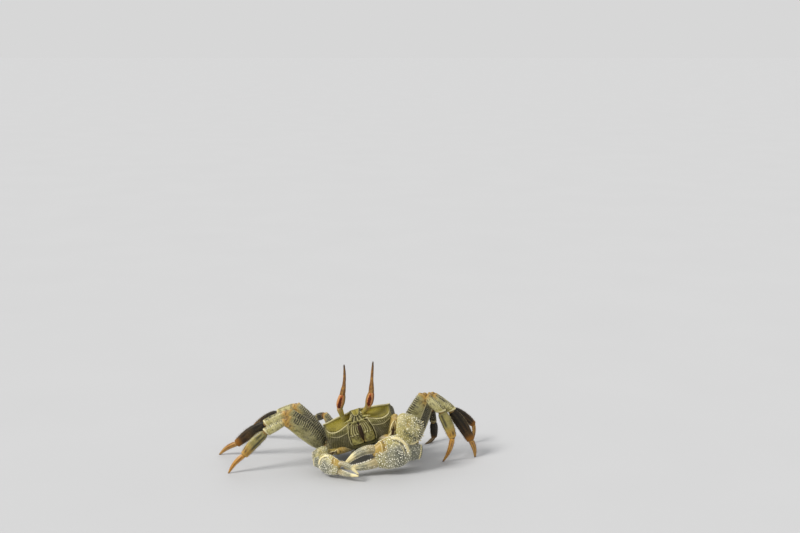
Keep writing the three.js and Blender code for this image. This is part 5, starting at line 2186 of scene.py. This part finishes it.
    def digit(self, skin: Skin, sense: int) -> None:
        """One finger, fixed (-1) or moving (1), with teeth along its cutting edge.

        Args:
            skin: the piece it joins.
            sense: which one.
        """
        size, grit = self.size, self.grit
        high, thick, arch, offset = {
            -1: ((7.8, 6.2, 5.0, 3.6, 1.4), (5.8, 4.6, 3.8, 2.8, 1.2), 1.6, -3.3),
            1: ((6.4, 6.2, 5.2, 3.8, 1.4), (5.4, 4.7, 3.9, 2.9, 1.2), 3.6, 4.4),
        }[sense]
        start = self.knuckle + UP * offset * size - self.axis * 2.2 * size
        part = self.segment(skin, start, self.tip + UP * sense * 0.95 * size, UP, high, thick,
                            neck=0.6 * size, waist=0.92, bow=sense * arch * size, bow_power=0.85,
                            power=2.1, columns=self.steps(84, 56), pitch=0.25)
        mid, wave = part.window(0.04, 0.14, 0.86, 1.0), part.flutes(8)
        part.lift((0.16 * wave ** 2 * beads(part.down, 0.9, 0.5) - 0.05) * mid * size)
        part.close(rim=clamp(0.35 * wave ** 2 * mid + ramp(0.5, 0.85, part.share)),
                   warm=0.4 * ramp(0.5, 0.1, part.share), band=0.3 * (1 - wave) ** 2 * mid)
        cutting = math.pi if sense > 0 else 0.0
        for shift, pitch, radius in ((0.0, 1.35, 0.5), (0.3, 1.0, 0.26), (-0.3, 1.0, 0.26)):
            part.edge_studs(cutting + shift, pitch * size, radius * size, radius * 1.05 * size,
                            lean=0.0, span=(0.2, 0.93), sharp=False, stud=1.0, rim=1.0)
        weight = mid * ramp(0.62, 0.4, part.share) * ramp(0.1, -0.5, np.cos(part.angle - cutting))
        part.scatter(weight, 0.8 * grit, 0.24 * grit, 0.8, (0.4, 1.0))

    def thumb(self) -> None:
        """The moving finger and the skin of its hinge."""
        skin, size = Skin(), self.size
        self.digit(skin, 1)
        at = self.knuckle + UP * 3.2 * size - self.axis * 0.6 * size
        axes = np.stack([UP, self.axis, np.cross(UP, self.axis)], -1)
        ball(skin, at, np.array([2.9, 2.4, 2.7]) * size, axes, pleats=10, warm=0.8)
        self.make(skin, "thumb", "finger", self.finishes.claw)

    def build(self) -> None:
        """Make the whole claw."""
        for part in (self.arm, self.wrist_plate, self.hand, self.thumb):
            part()


# ---------------------------------------------------------------- eyes and feelers

@dataclass
class Eye(Assembly):
    """One upright eye: stalk with the strip up its inner side, cornea, and horn.

    Attributes:
        side: which eye.
        spec: its root, foot, head and tip.
        half: radius of the cornea.
        strip: radius of the strip.
        stalk_form, strip_form, cornea_form: full widths and thicknesses at even steps.
        horn_form: full widths of the round horn at even steps.
    """

    side: Side
    spec: dict[str, Any]
    half: float = 2.45
    strip: float = 1.1
    stalk_form: tuple[float, ...] = (3.7, 3.3, 3.5, 3.9, 3.4)
    strip_form: tuple[tuple[float, ...], ...] = (2.9, 2.3, 2.2, 2.4, 2.4), (3.3, 2.6, 2.3, 2.4, 2.4)
    cornea_form: tuple[tuple[float, ...], ...] = (
        (2.6, 4.5, 5.0, 4.7, 3.8, 1.7), (2.6, 4.5, 5.0, 4.7, 4.0, 1.9))
    horn_form: tuple[float, ...] = (3.8, 3.3, 2.2, 1.85, 1.5, 0.86)

    def __post_init__(self) -> None:
        """Work out its frame."""
        for key in ("root", "foot", "head", "tip"):
            setattr(self, key, np.array(self.spec[key], float))
        self.inner = np.array([-float(self.side.value), 0, 0])
        self.up = unit(self.head - self.foot)
        self.front = math.radians(-90 * self.side.value)  # angle round the eye that faces forward

    def segment(self, skin: Skin, start: Array, end: Array, wide: Sequence[float],
                thick: Sequence[float], **extra: Any) -> Segment:
        """Part of the eye with its back to the inner side, with other settings of its own."""
        return Segment(skin, start, end, self.inner, wide, thick, cupped=False, **extra)

    def make(self, skin: Skin, part: str, node: str, finish: bpy.types.Material, slot: str) -> None:
        """Make one piece of the eye, in place of its plain solid."""
        skin.make(f"eye_{self.side.label}_{part}", finish, slot, [f"{node}_{self.side.label}"])

    def stalk(self) -> None:
        """The stalk and its strip."""
        skin = Skin()
        part = self.segment(skin, self.root, self.foot + self.up * 0.9, self.stalk_form,
                            self.stalk_form, neck=1.2, waist=0.9, columns=56, pitch=0.16)
        ring = hump(part.down - 0.3 * part.length, 0.25)
        part.lift(-0.2 * ring)
        part.close(band=0.4 * ring + 0.25 * hump(signed(part.angle, self.front), 0.5), accent=0.6,
                   warm=0.5 * ramp(0.4, 1.0, part.share))
        shift = self.inner * (self.half - self.strip * 0.6)
        start = self.foot - self.up * 0.6 + shift * 0.5
        end = self.head - self.up * 0.4 + shift * 0.2
        strip = self.segment(skin, start, end, *self.strip_form, neck=0.6, bow=1.1, waist=0.95,
                             columns=44, pitch=0.16)
        strip.lift(0.05 * strip.wobble(1.2, 51))
        shade = 0.35 * ramp(0.3, 0.8, np.abs(strip.sine))
        if self.side is Side.RIGHT:
            shade = shade + 0.6 * ramp(0.6, 0.95, strip.cosine)
        strip.close(warm=0.25 + 0.5 * ramp(0.5, 1.0, strip.share),
                    accent=0.5 * ramp(0.6, 0.1, strip.share), band=clamp(shade))
        self.make(skin, "stalk", "eyestalk", self.finishes.stalk, "stalk")

    def cornea(self) -> None:
        """The long faceted cornea."""
        skin = Skin()
        part = self.segment(skin, self.foot, self.head, *self.cornea_form, neck=0.4, waist=0.85,
                            columns=84, pitch=0.12, power=2.0, shoulder=0.1)
        away = signed(part.angle, self.front * (1.1 if self.side is Side.RIGHT else 0.87))
        away = away + 0.1 * part.wobble(1.1, 62)
        reach = 0.8 - 0.28 * ramp(0.2, 0.9, part.share)
        stripe = ramp(reach, 0.2 * reach, np.abs(away)) * ramp(0.02, 0.14, part.share)
        stripe = stripe * (0.56 + 0.44 * ramp(0.85, 0.5, part.share)) * ramp(0.97, 0.86, part.share)
        # on the left eye, a dark edge on the outer side is painted shade
        if self.side is Side.LEFT:
            stripe = np.maximum(stripe, 0.9 * ramp(2.2, 2.6, np.abs(signed(part.angle))))
        part.close(stripe=clamp(stripe, 0.95))
        self.make(skin, "cornea", "eye", self.finishes.cornea, "cornea")

    def horn(self) -> None:
        """The horn on top of the eye."""
        skin = Skin()
        part = self.segment(skin, self.head - self.up * 2.7, self.tip, self.horn_form,
                            self.horn_form, neck=0.3, waist=0.95, columns=40, pitch=0.2,
                            bow=self.spec["bow"])
        ahead = signed(part.angle, self.front)
        part.lift(0.03 * part.wobble(1.6, 61) - 0.04 * hump(ahead, 0.4))
        part.close(
            band=clamp(0.85 * ramp(0.62, 0.98, part.share) + 0.25 * ramp(0.15, 0.0, part.share)),
            rim=0.45 * hump(ahead, 0.35) * ramp(0.9, 0.5, part.share))
        self.make(skin, "horn", "horn", self.finishes.horn, "stalk")

    def build(self) -> None:
        """Make the whole eye."""
        for part in (self.stalk, self.cornea, self.horn):
            part()


@dataclass
class Feeler(Assembly):
    """One short antenna at the inner corner of an orbit.

    Attributes:
        side: which one.
        root, lean, sag: its start, its run and its droop in the body's frame.
        radii: at even steps.
    """

    side: Side
    root: tuple[float, float, float] = (4.6, -1.6, -3.4)
    lean: tuple[float, float, float] = (4.4, -3.2, -0.9)
    sag: tuple[float, float, float] = (0.0, 0.0, -0.5)
    radii: tuple[float, ...] = (0.75, 0.7, 0.55, 0.42, 0.26)

    def build(self) -> None:
        """Make it."""
        mirror = np.array([self.side.value, 1, 1])
        root, lean = np.array(self.root) * mirror, np.array(self.lean) * mirror
        steps = np.linspace(0, 1, len(self.radii))[:, None]
        skin = Skin()
        rope(skin, on_body(root + lean * steps + np.array(self.sag) * steps ** 2), self.radii,
             80, 14, rings=9, rim=0.35, accent=0.3)
        ball(skin, on_body(root), np.array([1.2, 1.0, 0.95]), BODY, rim=0.2)
        name = self.side.label
        skin.make(f"feeler_{name}", self.finishes.mouth, "limb", [f"antenna_{name}"])


# ---------------------------------------------------------------- stage

@dataclass
class Stage(Assembly):
    """Pale floor, soft lights and the camera.

    Attributes:
        reach: half the breadth of the floor, in metres.
        glow: strength of the even light from all round.
        camera_at: in part coordinates, in mm.
        camera_down: how far the camera looks down, in degrees.
        lens: focal length in mm on a sensor of 36 mm.
    """

    reach: float = 12.0
    glow: float = 0.68
    camera_at: tuple[float, float, float] = (38.6, -708.0, 281.0)
    camera_down: float = 11.9
    lens: float = 50.0

    def floor(self) -> None:
        """A wide flat floor."""
        mesh = bpy.data.meshes.new("floor")
        corners = [(-1, -1), (1, -1), (1, 1), (-1, 1)]
        mesh.from_pydata([(x * self.reach, y * self.reach, 0) for x, y in corners], [],
                         [(0, 1, 2, 3)])
        mesh.materials.append(self.finishes.floor)
        floor = bpy.data.objects.new("floor", mesh)
        bpy.context.scene.collection.objects.link(floor)

    def lamp(self, name: str, at: tuple[float, float, float], spread: float, power: float,
             colour: tuple[float, float, float]) -> None:
        """One broad soft light from far away.

        Args:
            name: of the light.
            at: the way it comes from.
            spread: how broad it looks, in degrees.
            power: its strength.
            colour: its colour.
        """
        data = bpy.data.lights.new(name, "SUN")
        data.angle = math.radians(spread)
        data.energy = power
        data.color = colour
        lamp = bpy.data.objects.new(name, data)
        bpy.context.scene.collection.objects.link(lamp)
        lamp.location = at
        lamp.rotation_mode = "QUATERNION"
        lamp.rotation_quaternion = (-Vector(at)).to_track_quat("-Z", "Y")

    def sky(self) -> None:
        """Even white light from all round."""
        world = bpy.data.worlds.new("studio")
        world.use_nodes = True
        background = world.node_tree.nodes["Background"].inputs
        background["Color"].default_value = (1, 1, 1, 1)
        background["Strength"].default_value = self.glow
        bpy.context.scene.world = world

    def camera(self) -> None:
        """The camera in front of the crab."""
        data = bpy.data.cameras.new("camera")
        data.lens = self.lens
        data.sensor_width = 36.0
        data.clip_start, data.clip_end = 0.01, 100
        camera = bpy.data.objects.new("camera", data)
        bpy.context.scene.collection.objects.link(camera)
        camera.location = (np.array(self.camera_at) + CENTRE) * MM
        camera.rotation_euler = (math.radians(90 - self.camera_down), 0, 0)
        bpy.context.scene.camera = camera
        bpy.context.scene.view_settings.view_transform = "Standard"

    def build(self) -> None:
        """Make it all."""
        self.floor()
        self.lamp("key light", (-1.0, -0.6, 1.15), 20.0, 2.6, (1.0, 0.975, 0.93))
        self.lamp("back light", (0.5, 1.0, 1.1), 40.0, 0.45, (1.0, 0.98, 0.95))
        self.sky()
        self.camera()


def main() -> None:
    """Build the crab, piece by piece, and its stage."""
    logging.basicConfig(level=logging.INFO, format="%(message)s")
    finishes = Finishes()
    Stage(finishes).build()
    for body_part in (Carapace, Underside, Mouth):
        body_part(finishes).build()
    for side in Side:
        Eye(finishes, side, EYES[side.label]).build()
        Feeler(finishes, side).build()
        Claw(finishes, side, CLAWS[side.label]).build()
    for name, spec in LEGS.items():
        WalkingLeg(finishes, name, spec).build()


if __name__ == "__main__":
    main()
